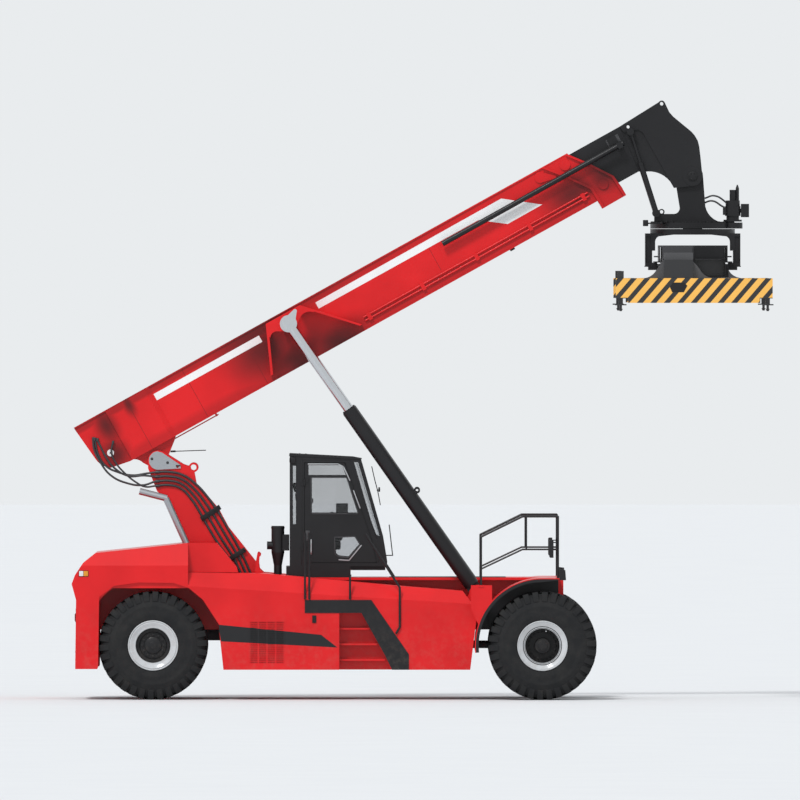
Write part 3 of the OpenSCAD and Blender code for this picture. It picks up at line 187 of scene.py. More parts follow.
def enamel(name, base, shade, rough=0.32, coat=0.12, dust=0.25, shine=0.25):
    """Sprayed enamel on steel plate: an even gloss, a faint ripple, and road dust that thins with height."""
    mat, tree, bsdf, where = new_material(name, Roughness=rough, Coat_Weight=coat, Coat_Roughness=0.12)
    bsdf.inputs["Specular IOR Level"].default_value = shine
    cloud = noise(tree, where, 1.3)
    paint = mix(tree, ramp(tree, cloud, [(0.35, 0.0), (0.7, 1.0)]), base, shade)
    low = calc(tree, "DIVIDE", axes_of(tree, where)["Z"], DUST_HEIGHT)
    low = calc(tree, "SUBTRACT", 1.0, low, clamp=True)
    spots = ramp(tree, noise(tree, where, 9.0, 6.0, 0.65), [(0.45, 0.0), (0.75, 1.0)])
    grime = calc(tree, "MULTIPLY", every(tree, low, spots), dust, clamp=True)
    colour(tree, bsdf, grime, paint, "#8a7d70")
    worn = calc(tree, "MULTIPLY_ADD", cloud, 0.12, rough - 0.06)
    tree.links.new(calc(tree, "ADD", worn, every(tree, grime, 0.5)), bsdf.inputs["Roughness"])
    # Ripple of sprayed paint, drawn 30 mm across so that it shows
    bump(tree, bsdf, noise(tree, where, 33.0, 2.0), 0.0004)
    return mat


def cast_metal(name, base, shade):
    """Painted casting: matt, with the grain of a sand mould drawn 8 mm coarse, and oily dust."""
    mat, tree, bsdf, where = new_material(name, Roughness=0.6, Metallic=0.2)
    patches = ramp(tree, noise(tree, where, 6.0, 5.0), [(0.4, 0.0), (0.65, 1.0)])
    colour(tree, bsdf, patches, base, shade)
    bump(tree, bsdf, noise(tree, where, 120.0, 4.0), 0.0015)
    return mat


def bare_metal(name, base, rough, streak):
    """Bare steel with fine streaks along its length."""
    mat, tree, bsdf, where = new_material(name, Metallic=1.0, Roughness=rough)
    fine = add(tree, "ShaderNodeMapping", {"Vector": where, "Scale": streak}).outputs["Vector"]
    lines = noise(tree, fine, 20.0, 4.0)
    colour(tree, bsdf, lines, base, "#b9bdc1")
    tree.links.new(calc(tree, "MULTIPLY_ADD", lines, 0.15, rough - 0.07), bsdf.inputs["Roughness"])
    return mat


def tyre_rubber(name):
    """Moulded tyre rubber: near black, matt, with grey dust in patches and a fine grain."""
    mat, tree, bsdf, where = new_material(name, Roughness=0.78, Specular_IOR_Level=0.3)
    dust = ramp(tree, noise(tree, where, 5.0, 6.0, 0.7), [(0.4, 0.0), (0.8, 1.0)])
    colour(tree, bsdf, every(tree, dust, 0.35), "#17181a", "#3c3a37")
    bump(tree, bsdf, noise(tree, where, 90.0, 5.0), 0.0012)
    return mat


def moulded_plastic(name, base, rough=0.5):
    """Grained moulded plastic."""
    mat, tree, bsdf, where = new_material(name, Roughness=rough)
    colour(tree, bsdf, noise(tree, where, 12.0), base, "#3a3a3d")
    bump(tree, bsdf, noise(tree, where, 400.0, 3.0), 0.0004)
    return mat


def safety_glass(name, tint):
    """Flat safety glass with a light grey tint that varies a little."""
    mat, tree, bsdf, where = new_material(name, Roughness=0.02, IOR=1.3)
    bsdf.inputs["Transmission Weight"].default_value = 1.0
    colour(tree, bsdf, noise(tree, where, 3.0), tint, "#d2d3d4")
    return mat


def convex_mask(tree, across, up, corners):
    """1 inside a convex outline whose corners run anticlockwise, in metres, and 0 outside."""
    inside = None
    for (ax, az), (bx, bz) in zip(corners, corners[1:] + corners[:1]):
        run, rise = bx - ax, bz - az
        side = calc(tree, "MULTIPLY_ADD", up, run, ax * rise - az * run)
        side = calc(tree, "SUBTRACT", side, every(tree, across, rise))
        side = above(tree, side, 0.0)
        inside = side if inside is None else every(tree, inside, side)
    return inside


def over(tree, bsdf, mask, tone):
    """Lays another tone over a finish where a mask is 1."""
    paint = bsdf.inputs["Base Color"].links[0].from_socket
    colour(tree, bsdf, mask, paint, tone)


def masked_enamel(name, base, shade, **settings):
    """An enamel to lay other tones over: the material, its tree and shader, and the coordinates of the object."""
    mat = enamel(name, base, shade, **settings)
    tree = mat.node_tree
    return mat, tree, tree.nodes["Principled BSDF"], add(tree, "ShaderNodeTexCoord").outputs["Object"]


def banded_enamel(name, base, shade, band):
    """The body's enamel with the black band that runs down to the steps, over panel and louvres alike."""
    mat, tree, bsdf, where = masked_enamel(name, base, shade)
    axes = axes_of(tree, where)
    outer = above(tree, calc(tree, "ABSOLUTE", axes["Y"]), BODY_SIDE - 0.06)
    over(tree, bsdf, every(tree, convex_mask(tree, axes["X"], axes["Z"], band), outer), "#1f1f21")
    return mat


def shade_oval(tree, along, up, spot):
    """A mask of painted shade: 1 in the middle of a soft oval, falling to 0 at its edge; the spot is its middle and its
    half sizes in metres.
    """
    at, height, reach, rise = spot
    far = None
    for place, middle, half in ((along, at, reach), (up, height, rise)):
        part = calc(tree, "DIVIDE", calc(tree, "SUBTRACT", place, middle), half)
        part = every(tree, part, part)
        far = part if far is None else calc(tree, "ADD", far, part)
    near = calc(tree, "SUBTRACT", 1.0, far, clamp=True)
    return every(tree, near, near)


def boom_enamel_painted_shade(name, base, shade):
    """The boom's red, with painted shade along its top and lower edges, at the rear boxes, the brackets and the collar.
    """
    mat, tree, bsdf, where = masked_enamel(name, base, shade)
    turned = add(tree, "ShaderNodeMapping", {"Vector": where}, vector_type="TEXTURE")
    turned.inputs["Location"].default_value = PIVOT
    turned.inputs["Rotation"].default_value = (0, -BOOM_PITCH, 0)
    axes = axes_of(tree, turned.outputs[0])
    # Painted shade under the top edge over the boom's first part, and along its lower edge
    top = ramp(tree, axes["Z"], [(0.93, 0.0), (0.975, 0.5)])
    early = ramp(tree, calc(tree, "DIVIDE", axes["X"], 10.0), [(0.35, 1.0), (0.68, 0.0)])
    dark = every(tree, top, early)
    low = ramp(tree, axes["Z"], [(0.3, 0.3), (0.4, 0.0)])
    dark = calc(tree, "MAXIMUM", dark, low)
    for spot in BOOM_SHADE:
        dark = calc(tree, "MAXIMUM", dark, shade_oval(tree, axes["X"], axes["Z"], spot))
    # The painted shade is a dark red laid over the boom's red
    over(tree, bsdf, every(tree, dark, 0.85), "#2c0c0e")
    return mat


def arch_liner_and_shade(name, base, shade):
    """Red outside, and black within the arch over the drive wheels, on fender, deck and frame alike: partly a black
    liner, partly painted shade of the wheel well.
    """
    mat, tree, bsdf, where = masked_enamel(name, base, shade)
    axes = axes_of(tree, where)
    run = calc(tree, "SUBTRACT", axes["X"], DRIVE_AXLE.x)
    rise = calc(tree, "SUBTRACT", axes["Z"], DRIVE_AXLE.z)
    far = calc(tree, "ADD", every(tree, run, run), every(tree, rise, rise))
    arch = below(tree, far, (ARCH_R - ARCH_EDGE) ** 2)
    under = below(tree, axes["Z"], DRIVE_AXLE.z + ARCH_R - ARCH_EDGE)
    ahead = every(tree, above(tree, run, 0.0), under)
    liner_and_shade = below(tree, run, FENDER_FRONT - DRIVE_AXLE.x - 0.008)
    # Black within the arch, and below it ahead of the axle: a liner, and painted shade in the wheel well
    over(tree, bsdf, every(tree, calc(tree, "MAXIMUM", arch, ahead), liner_and_shade), "#1c1c1e")
    return mat


def frame_enamel(name, base, shade):
    """Spreader frame: black, with the end plates between its beams in dark grey."""
    mat, tree, bsdf, where = masked_enamel(name, base, shade, rough=0.42, coat=0.1, dust=0.0)
    axes = axes_of(tree, where)
    ahead = calc(tree, "SUBTRACT", axes["X"], HEAD.x)
    side = above(tree, every(tree, ahead, axes["Y"]), 0.0)
    end = above(tree, calc(tree, "ABSOLUTE", axes["Y"]), FRAME_END)
    high = above(tree, axes["Z"], FRAME_GREY)
    over(tree, bsdf, every(tree, side, end, high), "#434345")
    return mat


def seat_cloth(name):
    """Woven seat cloth: dark grey threads 4 mm apart, crossing."""
    mat, tree, bsdf, where = new_material(name, Roughness=0.9, Sheen_Weight=0.3)
    thread = {"Vector": where, "Scale": 80.0}
    ways = [add(tree, "ShaderNodeTexWave", thread, bands_direction=way).outputs["Fac"] for way in "XY"]
    weave = calc(tree, "MAXIMUM", *ways)
    colour(tree, bsdf, weave, "#1d1e21", "#34363a")
    bump(tree, bsdf, weave, 0.0015)
    return mat


def hazard_paint(name):
    """Slanting yellow and black bands on the end beams, grey on the end plates and black on the arms behind."""
    mat, tree, bsdf, where = new_material(name, Roughness=0.35, Coat_Weight=0.3, Coat_Roughness=0.15)
    axes = axes_of(tree, where)
    lean = calc(tree, "SUBTRACT", axes["X"], every(tree, axes["Z"], BAND_LEAN))
    # A yellow and a black band together take one pitch along the beam, and the yellow is the wider
    turn = calc(tree, "FRACT", calc(tree, "DIVIDE", lean, BAND_PITCH))
    bands = above(tree, turn, YELLOW_SHARE)
    worn = ramp(tree, noise(tree, where, 7.0, 5.0, 0.7), [(0.3, 0.0), (0.75, 1.0)])
    painted = mix(tree, bands, mix(tree, every(tree, worn, 0.4), "#f0b652", "#e4a845"), "#19191b")
    across = calc(tree, "ABSOLUTE", axes["Y"])
    face = above(tree, across, BEAM_FACE)
    low = below(tree, axes["Z"], BEAM_TOP)
    lock = above(tree, axes["Z"], BEAM_TOP - BEAM_DEEP - 0.002)
    # Black lock housings in the beam's lower corners
    reach = calc(tree, "ABSOLUTE", calc(tree, "SUBTRACT", axes["X"], HEAD.x))
    under = below(tree, axes["Z"], BEAM_TOP - LOCK_DROP)
    corner = every(tree, above(tree, reach, LOCK_REACH), under)
    lock = calc(tree, "SUBTRACT", lock, corner, clamp=True)
    behind = mix(tree, above(tree, across, END_PLATE), "#1d1d1f", "#434345")
    behind = mix(tree, face, behind, "#19191b")
    colour(tree, bsdf, every(tree, face, low, lock), behind, painted)
    bump(tree, bsdf, noise(tree, where, 40.0, 2.0), 0.0004)
    return mat


def tread_plate(name):
    """Black anti-slip plate: raised bars 40 mm apart that cross."""
    mat, tree, bsdf, where = new_material(name, Roughness=0.6, Metallic=0.3)
    turned = add(tree, "ShaderNodeMapping", {"Vector": where})
    turned.inputs["Rotation"].default_value = (0, 0, math.radians(45))
    bars = add(tree, "ShaderNodeTexChecker", {"Vector": turned.outputs[0], "Scale": 25.0}).outputs["Fac"]
    scuffs = ramp(tree, noise(tree, where, 4.0, 5.0), [(0.45, 0.0), (0.7, 1.0)])
    colour(tree, bsdf, every(tree, scuffs, 0.5), "#232325", "#4b4a48")
    bump(tree, bsdf, bars, 0.002)
    return mat


def lamp_glass(name, tone, glow=0.0):
    """Moulded lamp lens with fine vertical ribs 6 mm apart."""
    mat, tree, bsdf, where = new_material(name, Roughness=0.12, IOR=1.49)
    bsdf.inputs["Transmission Weight"].default_value = 0.2
    ribs = add(tree, "ShaderNodeTexWave", {"Vector": where, "Scale": 55.0})
    colour(tree, bsdf, ribs.outputs["Fac"], tone, "#ffffff" if glow else tone)
    bump(tree, bsdf, ribs.outputs["Fac"], 0.001)
    return mat


# Height at which the road dust ends, and the red edge round the black inside the arch, a liner and painted shade, in
# metres
DUST_HEIGHT = 1.6
ARCH_EDGE = 0.014
# Where the spreader frame's grey end plates begin, across and up, in metres
FRAME_END = 1.449
FRAME_GREY = HEAD.z - 1.272
# Heights and faces of the end beams, and where their black lock housings begin, in metres
BEAM_TOP = HEAD.z - 1.573
BEAM_DEEP = 0.378
BEAM_FACE = 2.8255
END_PLATE = 2.752
LOCK_DROP = 0.3
LOCK_REACH = 1.005
# The bands on the end beams: pitch in metres, lean against the upright, and the yellow's share
BAND_PITCH = 0.207
BAND_LEAN = 0.86
YELLOW_SHARE = 0.55
# Ovals of painted shade on the boom: place along it, height, half length and half height, in metres
BOOM_SHADE = [
    (-0.44, 0.86, 0.26, 0.5), (-0.52, 0.4, 0.34, 0.4), (0.02, 0.98, 0.14, 0.3), (2.3, 0.98, 1.5, 0.34),
    (2.3, 0.72, 1.0, 0.75), (2.7, 0.3, 1.0, 0.62), (3.3, 0.25, 0.9, 0.42), (7.62, 0.5, 0.75, 0.36),
    (8.15, 0.52, 0.5, 0.5),
]
# Corners of the black band on the side bodies, in x and z, in metres
SIDE_BAND = [(-3.14, 1.158), (-3.09, 0.9), (-1.296, 0.805), (-1.55, 1.002)]
REDS = ("#d8191d", "#c81317")
BLACKS = ("#1d1d1f", "#151517")

RED = enamel("red_enamel", *REDS)
BLACK = enamel("black_enamel", *BLACKS, rough=0.42, coat=0.1, dust=0.2)
WHITE = enamel("white_enamel", "#eceded", "#e0e1e1", rough=0.35, coat=0.3, dust=0.1)
RIM_PAINT = enamel("rim_enamel", "#c4c6c8", "#b2b5b8", rough=0.38, coat=0.3, dust=0.5)
CASTING = cast_metal("axle_casting", "#38393c", "#2b2c2e")
STEEL = bare_metal("brushed_steel", "#9a9ea2", 0.35, (1, 1, 12))
CHROME = bare_metal("chromed_rod", "#d8dadc", 0.16, (6, 6, 1))
RUBBER = tyre_rubber("tyre_rubber")
HOSE = moulded_plastic("hose_rubber", "#1d1e20", 0.45)
PLASTIC = moulded_plastic("moulded_trim", "#232427")
GLASS = safety_glass("cab_glass", "#dcddde")
CLEAR_LENS = lamp_glass("clear_lens", "#e8ecee", 1.0)
RED_LENS = lamp_glass("red_lens", "#b01418")
TREAD = tread_plate("tread_plate")
AMBER_LENS = lamp_glass("amber_lens", "#f0a028")
HAZARD = hazard_paint("hazard_enamel")
BANDED = banded_enamel("banded_enamel", *REDS, SIDE_BAND)
BOOM_RED_PAINTED_SHADE = boom_enamel_painted_shade("boom_enamel_painted_shade", *REDS)
ARCH_RED_AND_SHADE = arch_liner_and_shade("arch_liner_and_shade", *REDS)
FRAME_BLACK = frame_enamel("frame_enamel", *BLACKS)
# Light grey for the door handles and the trim; on the trim it is also a painted highlight along the door frame's edge
ALUMINIUM_AND_HIGHLIGHT = enamel("trim_and_highlight", "#a9acae", "#9a9da0", rough=0.4, coat=0.0, dust=0.0)
SEAT = seat_cloth("seat_cloth")
SCREEN = moulded_plastic("screen_glass", "#101214", 0.15)
GREY = enamel("grey_enamel", "#4c4c4e", "#454547", rough=0.45, coat=0.2, dust=0.1)
# Dark red of the strips of painted shadow in the joints between the boom's plates
SHADOW_RED = enamel("seam_shadow_red", "#7d1a1c", "#6c1719", rough=0.6, coat=0.0, dust=0.0)

FINISH = {
    "red_paint": RED,
    "black_paint": BLACK,
    "cast_iron": CASTING,
    "steel": STEEL,
    "chrome": CHROME,
    "rim_paint": RIM_PAINT,
    "tyre": RUBBER,
    "glass": GLASS,
    "seat": PLASTIC,
    "hose": HOSE,
    "hazard_paint": HAZARD,
}


def dress_cad_nodes():
    """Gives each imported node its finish."""
    slots = {s["node"]: s["material_slot"] for s in frame["record"]["subparts"]}
    special = {"spreader_frame": FRAME_BLACK}
    special |= dict.fromkeys(("side_bodies", "grilles"), BANDED)
    # Black inside the wheel arches is a liner and painted shade; the boom carries painted shade
    special |= dict.fromkeys(("fenders", "deck", "frame"), ARCH_RED_AND_SHADE)
    special |= dict.fromkeys(("outer_boom", "boom_collar"), BOOM_RED_PAINTED_SHADE)
    for name, obj in frame["nodes"].items():
        obj.data.materials.clear()
        obj.data.materials.append(special.get(name, FINISH[slots[name]]))


def merge(bm, part):
    """Adds one mesh to another as it stands."""
    held = bpy.data.meshes.new("held")
    part.to_mesh(held)
    part.free()
    bm.from_mesh(held)
    bpy.data.meshes.remove(held)


def join(bm, part, at=None):
    """Adds a part drawn in millimetres to a piece, placed by a frame in metres."""
    bmesh.ops.transform(part, matrix=(at or Matrix()) @ Matrix.Scale(MM, 4), verts=part.verts)
    merge(bm, part)


def join_all(bm, *parts, at=None):
    """Adds several parts that share their place."""
    for part in parts:
        join(bm, part, at)


def mirror(s):
    """Leaves a side as it is drawn where s is 1, and turns it over to the other side where s is -1."""
    return Matrix.Scale(s, 4, (0, 1, 0))


def rotation(degrees, axis):
    """A turn about an axis."""
    return Matrix.Rotation(math.radians(degrees), 4, axis)


def rounded(part, edge, segments=2, sharp=30):
    """A part whose sharp edges are rounded off."""
    bmesh.ops.recalc_face_normals(part, faces=part.faces)
    if edge:
        keen = [e for e in part.edges if e.is_manifold and e.calc_face_angle() > math.radians(sharp)]
        settings = {"profile": 0.5, "affect": "EDGES", "material": -1, "clamp_overlap": True}
        bmesh.ops.bevel(part, geom=keen, offset=edge, segments=segments, **settings)
    return part


def block(low, high, edge=0):
    """A block between two corners."""
    part = bmesh.new()
    bmesh.ops.create_cube(part, size=1)
    low, high = Vector(low), Vector(high)
    bmesh.ops.scale(part, vec=high - low, verts=part.verts)
    bmesh.ops.translate(part, vec=(low + high) / 2, verts=part.verts)
    return rounded(part, edge)


def verts_in(geom):
    """The corners among what an operator returns."""
    return [v for v in geom if isinstance(v, bmesh.types.BMVert)]


def drawn_out(corners, reach):
    """A flat outline drawn out along a vector."""
    part = bmesh.new()
    face = part.faces.new([part.verts.new(co) for co in corners])
    grown = bmesh.ops.extrude_face_region(part, geom=[face])
    bmesh.ops.translate(part, vec=reach, verts=verts_in(grown["geom"]))
    return part


def plate(outline, near, far, edge=0):
    """An upright plate with its outline in x and z, from near to far across the machine."""
    return rounded(drawn_out([(x, near, z) for x, z in outline], (0, far - near, 0)), edge)


def lathe(profile, steps=64, closed=True):
    """A round body about Y, from a profile of distances from the axis and places along it."""
    part = bmesh.new()
    verts = [part.verts.new((r, y, 0)) for r, y in profile]
    line = [part.edges.new(pair) for pair in zip(verts, verts[1:] + verts[:1] if closed else verts[1:])]
    bmesh.ops.spin(part, geom=verts + line, cent=(0, 0, 0), axis=(0, 1, 0), angle=math.tau, steps=steps, use_merge=True)
    bmesh.ops.remove_doubles(part, verts=part.verts, dist=0.01)
    bmesh.ops.recalc_face_normals(part, faces=part.faces)
    return part


def rod(start, end, radius, sides=16, tip=None, edge=0):
    """A round rod between two points, or a cone if its tip differs."""
    part = bmesh.new()
    start, end = Vector(start), Vector(end)
    tip = radius if tip is None else tip
    size = {"radius1": radius, "radius2": tip, "depth": (end - start).length}
    bmesh.ops.create_cone(part, cap_ends=True, segments=sides, **size)
    turn = (end - start).to_track_quat("Z", "Y").to_matrix().to_4x4()
    bmesh.ops.transform(part, matrix=Matrix.Translation((start + end) / 2) @ turn, verts=part.verts)
    return rounded(part, edge)


def hose(points, radius, fine=6):
    """A hose or bent pipe along a smooth line through its points."""
    curve = bpy.data.curves.new("line", "CURVE")
    curve.dimensions = "3D"
    curve.bevel_depth = radius
    curve.bevel_resolution = 2
    curve.resolution_u = fine
    curve.use_fill_caps = True
    spline = curve.splines.new("BEZIER")
    spline.bezier_points.add(len(points) - 1)
    for knot, co in zip(spline.bezier_points, points):
        knot.co = co
        knot.handle_left_type = knot.handle_right_type = "AUTO"
    held = bpy.data.objects.new("line", curve)
    mesh = held.to_mesh()
    part = bmesh.new()
    part.from_mesh(mesh)
    held.to_mesh_clear()
    bpy.data.objects.remove(held)
    bpy.data.curves.remove(curve)
    bmesh.ops.remove_doubles(part, verts=part.verts, dist=0.01)
    bmesh.ops.recalc_face_normals(part, faces=part.faces)
    return part


def around(count, radius):
    """Places set evenly round a circle."""
    turns = [math.tau * k / count for k in range(count)]
    return [(radius * math.cos(angle), radius * math.sin(angle)) for angle in turns]


def bolt(bm, at, size, place, way, sides=6):
    """A bolt head on a washer at a place, with its head towards way."""
    place, way = Vector(place), Vector(way).normalized()
    join(bm, rod(place, place + way * size * 0.16, size * 0.72, 16), at)
    join(bm, rod(place + way * size * 0.12, place + way * size * 0.62, size * 0.56, sides, edge=size * 0.05), at)


def mirrored(bm):
    """Adds the other side of the machine to a piece."""
    made = bmesh.ops.duplicate(bm, geom=bm.verts[:] + bm.edges[:] + bm.faces[:])["geom"]
    bmesh.ops.scale(bm, vec=(1, -1, 1), verts=verts_in(made))
    bmesh.ops.reverse_faces(bm, faces=[f for f in made if isinstance(f, bmesh.types.BMFace)])


def placed(name, bm, finish):
    """An object made from a mesh that is drawn up."""
    mesh = bpy.data.meshes.new(name)
    bm.to_mesh(mesh)
    bm.free()
    mesh.materials.append(finish)
    obj = bpy.data.objects.new(name, mesh)
    scene.collection.objects.link(obj)
    return obj


def piece(name, bm, finish, body, replaces=(), sharp=35, turned=False):
    """A finished piece on a body, smooth where its faces meet gently; turned makes its faces look outward."""
    if turned:
        bmesh.ops.recalc_face_normals(bm, faces=bm.faces)
    for face in bm.faces:
        face.smooth = True
    for e in bm.edges:
        e.smooth = e.is_manifold and e.calc_face_angle() < math.radians(sharp)
    obj = placed(name, bm, finish)
    if body:
        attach(obj, body)
    if replaces:
        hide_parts(*replaces)
    return obj


# The camera stands far off at the machine's right side. Lens and sensor are in millimetres, the photograph's scale is
# in metres a pixel, and its ground line and the frame's middle are in pixels
LENS = 1500
SENSOR = 36
PHOTO_SCALE = 0.01541
PHOTO_WIDTH = 800
GROUND_PX = 699.8
MIDDLE_PX = 421.6
CAMERA_RISE = math.radians(0.25)


def make_camera():
    """Long lens from the right, framed by the photograph's scale at the near side of the machine."""
    cam = bpy.data.cameras.new("camera")
    cam.lens = LENS
    cam.sensor_width = SENSOR
    far = PHOTO_SCALE * PHOTO_WIDTH * LENS / SENSOR
    obj = bpy.data.objects.new("camera", cam)
    scene.collection.objects.link(obj)
    across, up = PHOTO_WIDTH / 2 - MIDDLE_PX, GROUND_PX - PHOTO_WIDTH / 2
    aim = Vector((across * PHOTO_SCALE, -BODY_SIDE, up * PHOTO_SCALE))
    back = Vector((0, -math.cos(CAMERA_RISE), math.sin(CAMERA_RISE)))
    obj.location = aim + back * far
    obj.rotation_mode = "QUATERNION"
    obj.rotation_quaternion = (-back).to_track_quat("-Z", "Y")
    cam.clip_start, cam.clip_end = 1, 1000
    scene.camera = obj


def make_stage():
    """Pale floor that runs out to a pale sky."""
    mat, tree, bsdf, where = new_material("floor_paint", Roughness=0.85)
    colour(tree, bsdf, noise(tree, where, 0.6), "#dcdee0", "#e2e4e5")
    bm = bmesh.new()
    bmesh.ops.create_circle(bm, cap_ends=True, radius=400, segments=64)
    placed("floor", bm, mat)


def make_lights():
    """Even sky light with a soft sun from the upper left front."""
    world = bpy.data.worlds.new("sky")
    scene.world = world
    world.use_nodes = True
    tree = world.node_tree
    tree.nodes.clear()
    path = add(tree, "ShaderNodeLightPath")
    seen = calc(tree, "MAXIMUM", path.outputs["Is Camera Ray"], path.outputs["Is Glossy Ray"])
    seen = calc(tree, "MAXIMUM", seen, path.outputs["Is Transmission Ray"])
    pale = add(tree, "ShaderNodeBackground", {"Color": linear("#e9ecee"), "Strength": 1.0})
    light = add(tree, "ShaderNodeBackground", {"Color": linear("#eef1f5"), "Strength": 0.75})
    both = add(tree, "ShaderNodeMixShader", {0: seen, 1: light.outputs[0], 2: pale.outputs[0]})
    out = add(tree, "ShaderNodeOutputWorld", {"Surface": both.outputs[0]})
    sun = bpy.data.lights.new("sun", "SUN")
    sun.energy = 2.0
    sun.angle = math.radians(12)
    lamp = bpy.data.objects.new("sun", sun)
    scene.collection.objects.link(lamp)
    lamp.rotation_euler = Vector((-0.35, -0.75, 0.9)).to_track_quat("Z", "Y").to_euler()


# Tyres: the rounded carcass and its lugs, by distance from the axle and place across the tyre
TYRE_HALF = 250
RIM_R = 387
LUGS = 34
BAND_TOP = 800
# The lugs end 1.5 mm inside the tyre's radius, so that no edge of a lug dips below the floor
LUG_R = 834.5
SIDEWALL = [
    (362, 206), (378, 224), (396, 229), (425, 241), (438, 241), (446, 244), (505, 249), (520, 246), (590, 248),
    (604, 251), (618, 246), (690, 236), (750, 214), (BAND_TOP, 168),
]
LUG_LINE = [
    (790, 6), (LUG_R, 6), (LUG_R, 196), (824, 214), (762, 236), (700, 246), (676, 244), (690, 226), (750, 200),
    (790, 165),
]
# Width of a lug at the tyre's edge and in the middle, and how far it leans between them
LUG_ROOT = 92
LUG_TIP = 62
LUG_LEAN = 22


def tyre(name, body, centres, replaced):
    """Tyres of one body, each with two rows of shoulder lugs set half a pitch apart."""
    bm = bmesh.new()
    for centre in centres:
        at = Matrix.Translation(centre)
        line = [(r, -y) for r, y in SIDEWALL] + [(r, y) for r, y in reversed(SIDEWALL)]
        join(bm, lathe(line, 96), at)
        for side in (1, -1):
            lug = drawn_out([(r, side * y, -LUG_ROOT / 2) for r, y in LUG_LINE], (0, 0, LUG_ROOT))
            middle = [v for v in lug.verts if abs(v.co.y) < 10]
            bmesh.ops.scale(lug, vec=(1, 1, LUG_TIP / LUG_ROOT), verts=middle)
            bmesh.ops.translate(lug, vec=(0, 0, LUG_LEAN), verts=middle)
            rounded(lug, 6, 1)
            for turn in range(LUGS):
                angle = math.tau * (turn + (0.25 if side > 0 else 0.75)) / LUGS
                join(bm, lug.copy(), at @ Matrix.Rotation(angle, 4, "Y"))
            lug.free()
    piece(name, bm, RUBBER, body, replaced)


def ring_of(bm, at, count, radius, place, make):
    """Like parts set round an axle, each made at the top and turned about Y."""
    for turn in range(count):
        join(bm, make(radius, place), at @ Matrix.Rotation(math.tau * turn / count, 4, "Y"))


def stud(radius, place):
    """A wheel nut with the end of its stud, facing out along Y."""
    nut = rod((0, place, radius), (0, place + 24, radius), 21, 6, edge=2)
    merge(nut, rod((0, place + 20, radius), (0, place + 36, radius), 11, 10, edge=2))
    return nut


# Profiles by distance from the axle and place: the outer flange that all rims have, the rest of a steered rim's face,
# and the barrel behind
RIM_EDGE = [(362, 196), (RIM_R - 3, 214), (RIM_R, 226), (RIM_R, 243), (RIM_R - 8, 249), (371, 246), (366, 236)]
FLANGE = RIM_EDGE + [
    (361, 236), (358, 243), (350, 245), (318, 230), (292, 216), (276, 214), (268, 206), (268, 90), (290, 90),
    (300, 196),
]
BARREL = [(330, -226), (RIM_R, -243), (RIM_R, -226), (356, -206), (356, 200), (330, 206)]


def steer_wheel(side, s):
    """A steered wheel: bright rim, black dish with twelve nuts round its hub."""
    body = "steer_wheel_" + side
    low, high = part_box("steer_tyre_" + side)
    at = Matrix.Translation((low + high) / 2)
    tyre("steer_tread_" + side, body, [(low + high) / 2], ["steer_tyre_" + side])
    bm = bmesh.new()
    for line in (FLANGE, BARREL):
        join(bm, lathe([(r, s * y) for r, y in line], 96), at)
    piece("steer_rim_face_" + side, bm, RIM_PAINT, body, ["steer_rim_" + side])
    at @= mirror(s)
    bm = bmesh.new()
    join(bm, lathe(STEER_DISH), at)
    ring_of(bm, at, 12, 167, 102, stud)
    join(bm, rod((0, 100, 0), (0, 132, 0), 60, 24, edge=6), at)
    piece("steer_hub_" + side, bm, BLACK, body, turned=True)


def drive_wheels(side, s):
    """Twin drive wheels: the outer rim's bright rings stand round its black dish."""
    body = "drive_wheels_" + side
    low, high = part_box("drive_tyres_" + side)
    middle = (low + high) / 2
    apart = Vector((0, s * ((high.y - low.y) / 2 - TYRE_HALF * MM), 0))
    outer, inner = middle + apart, middle - apart
    tyre("drive_tread_" + side, body, [outer, inner], ["drive_tyres_" + side])
    at = Matrix.Translation(outer) @ mirror(s)
    bm = bmesh.new()
    for line in DRIVE_RINGS + [BARREL]:
        join(bm, lathe(line, 96), at)
    for line in (FLANGE, BARREL):
        join(bm, lathe(line, 96), Matrix.Translation(inner) @ mirror(s))
    # Valve between the rings
    join(bm, rod((55, 170, 221), (55, 214, 224), 9, 12, edge=2), at)
    piece("drive_rim_face_" + side, bm, RIM_PAINT, body, ["drive_rims_" + side], turned=True)
    bm = bmesh.new()
    join(bm, lathe(DRIVE_DISH, 96), at)
    join(bm, lathe([(262, -180), (262, 120), (40, 120), (40, -180)], 64), Matrix.Translation(middle))
    ring_of(bm, at, 20, 205, -74, stud)
    join(bm, rod((0, -90, 0), (0, 60, 0), 118, 40, edge=10), at)
    join(bm, rod((0, 50, 0), (0, 74, 0), 84, 40, edge=6), at)
    ring_of(bm, at, 10, 66, 68, small_bolt)
    piece("drive_hub_" + side, bm, BLACK, body, turned=True)


def small_bolt(radius, place):
    """A bolt head on a hub cover, facing out along Y."""
    return rod((0, place, radius), (0, place + 12, radius), 9, 6, edge=1)


# Bright rings of the outer drive rim, and the black dishes of both kinds of wheel, by distance from the axle and place
DRIVE_RINGS = [
    RIM_EDGE + [(356, 238), (346, 232), (318, 222), (302, 214), (300, 196)],
    [(290, 196), (290, 208), (286, 212), (281, 212), (277, 206), (277, 196)],
    [(272, 188), (272, 200), (269, 204), (266, 202), (264, 190)],
]
DRIVE_DISH = [
    (302, 200), (290, 198), (276, 194), (266, 188), (262, 178), (262, -60), (252, -74), (120, -74), (118, -96),
    (270, -96), (290, -80), (302, -40),
]
STEER_DISH = [
    (266, 122), (262, 96), (214, 92), (206, 100), (196, 104), (134, 104), (128, 118), (118, 124), (20, 126),
    (20, 60), (92, -60), (150, -60), (150, 60), (330, 62), (330, 80), (268, 84),
]


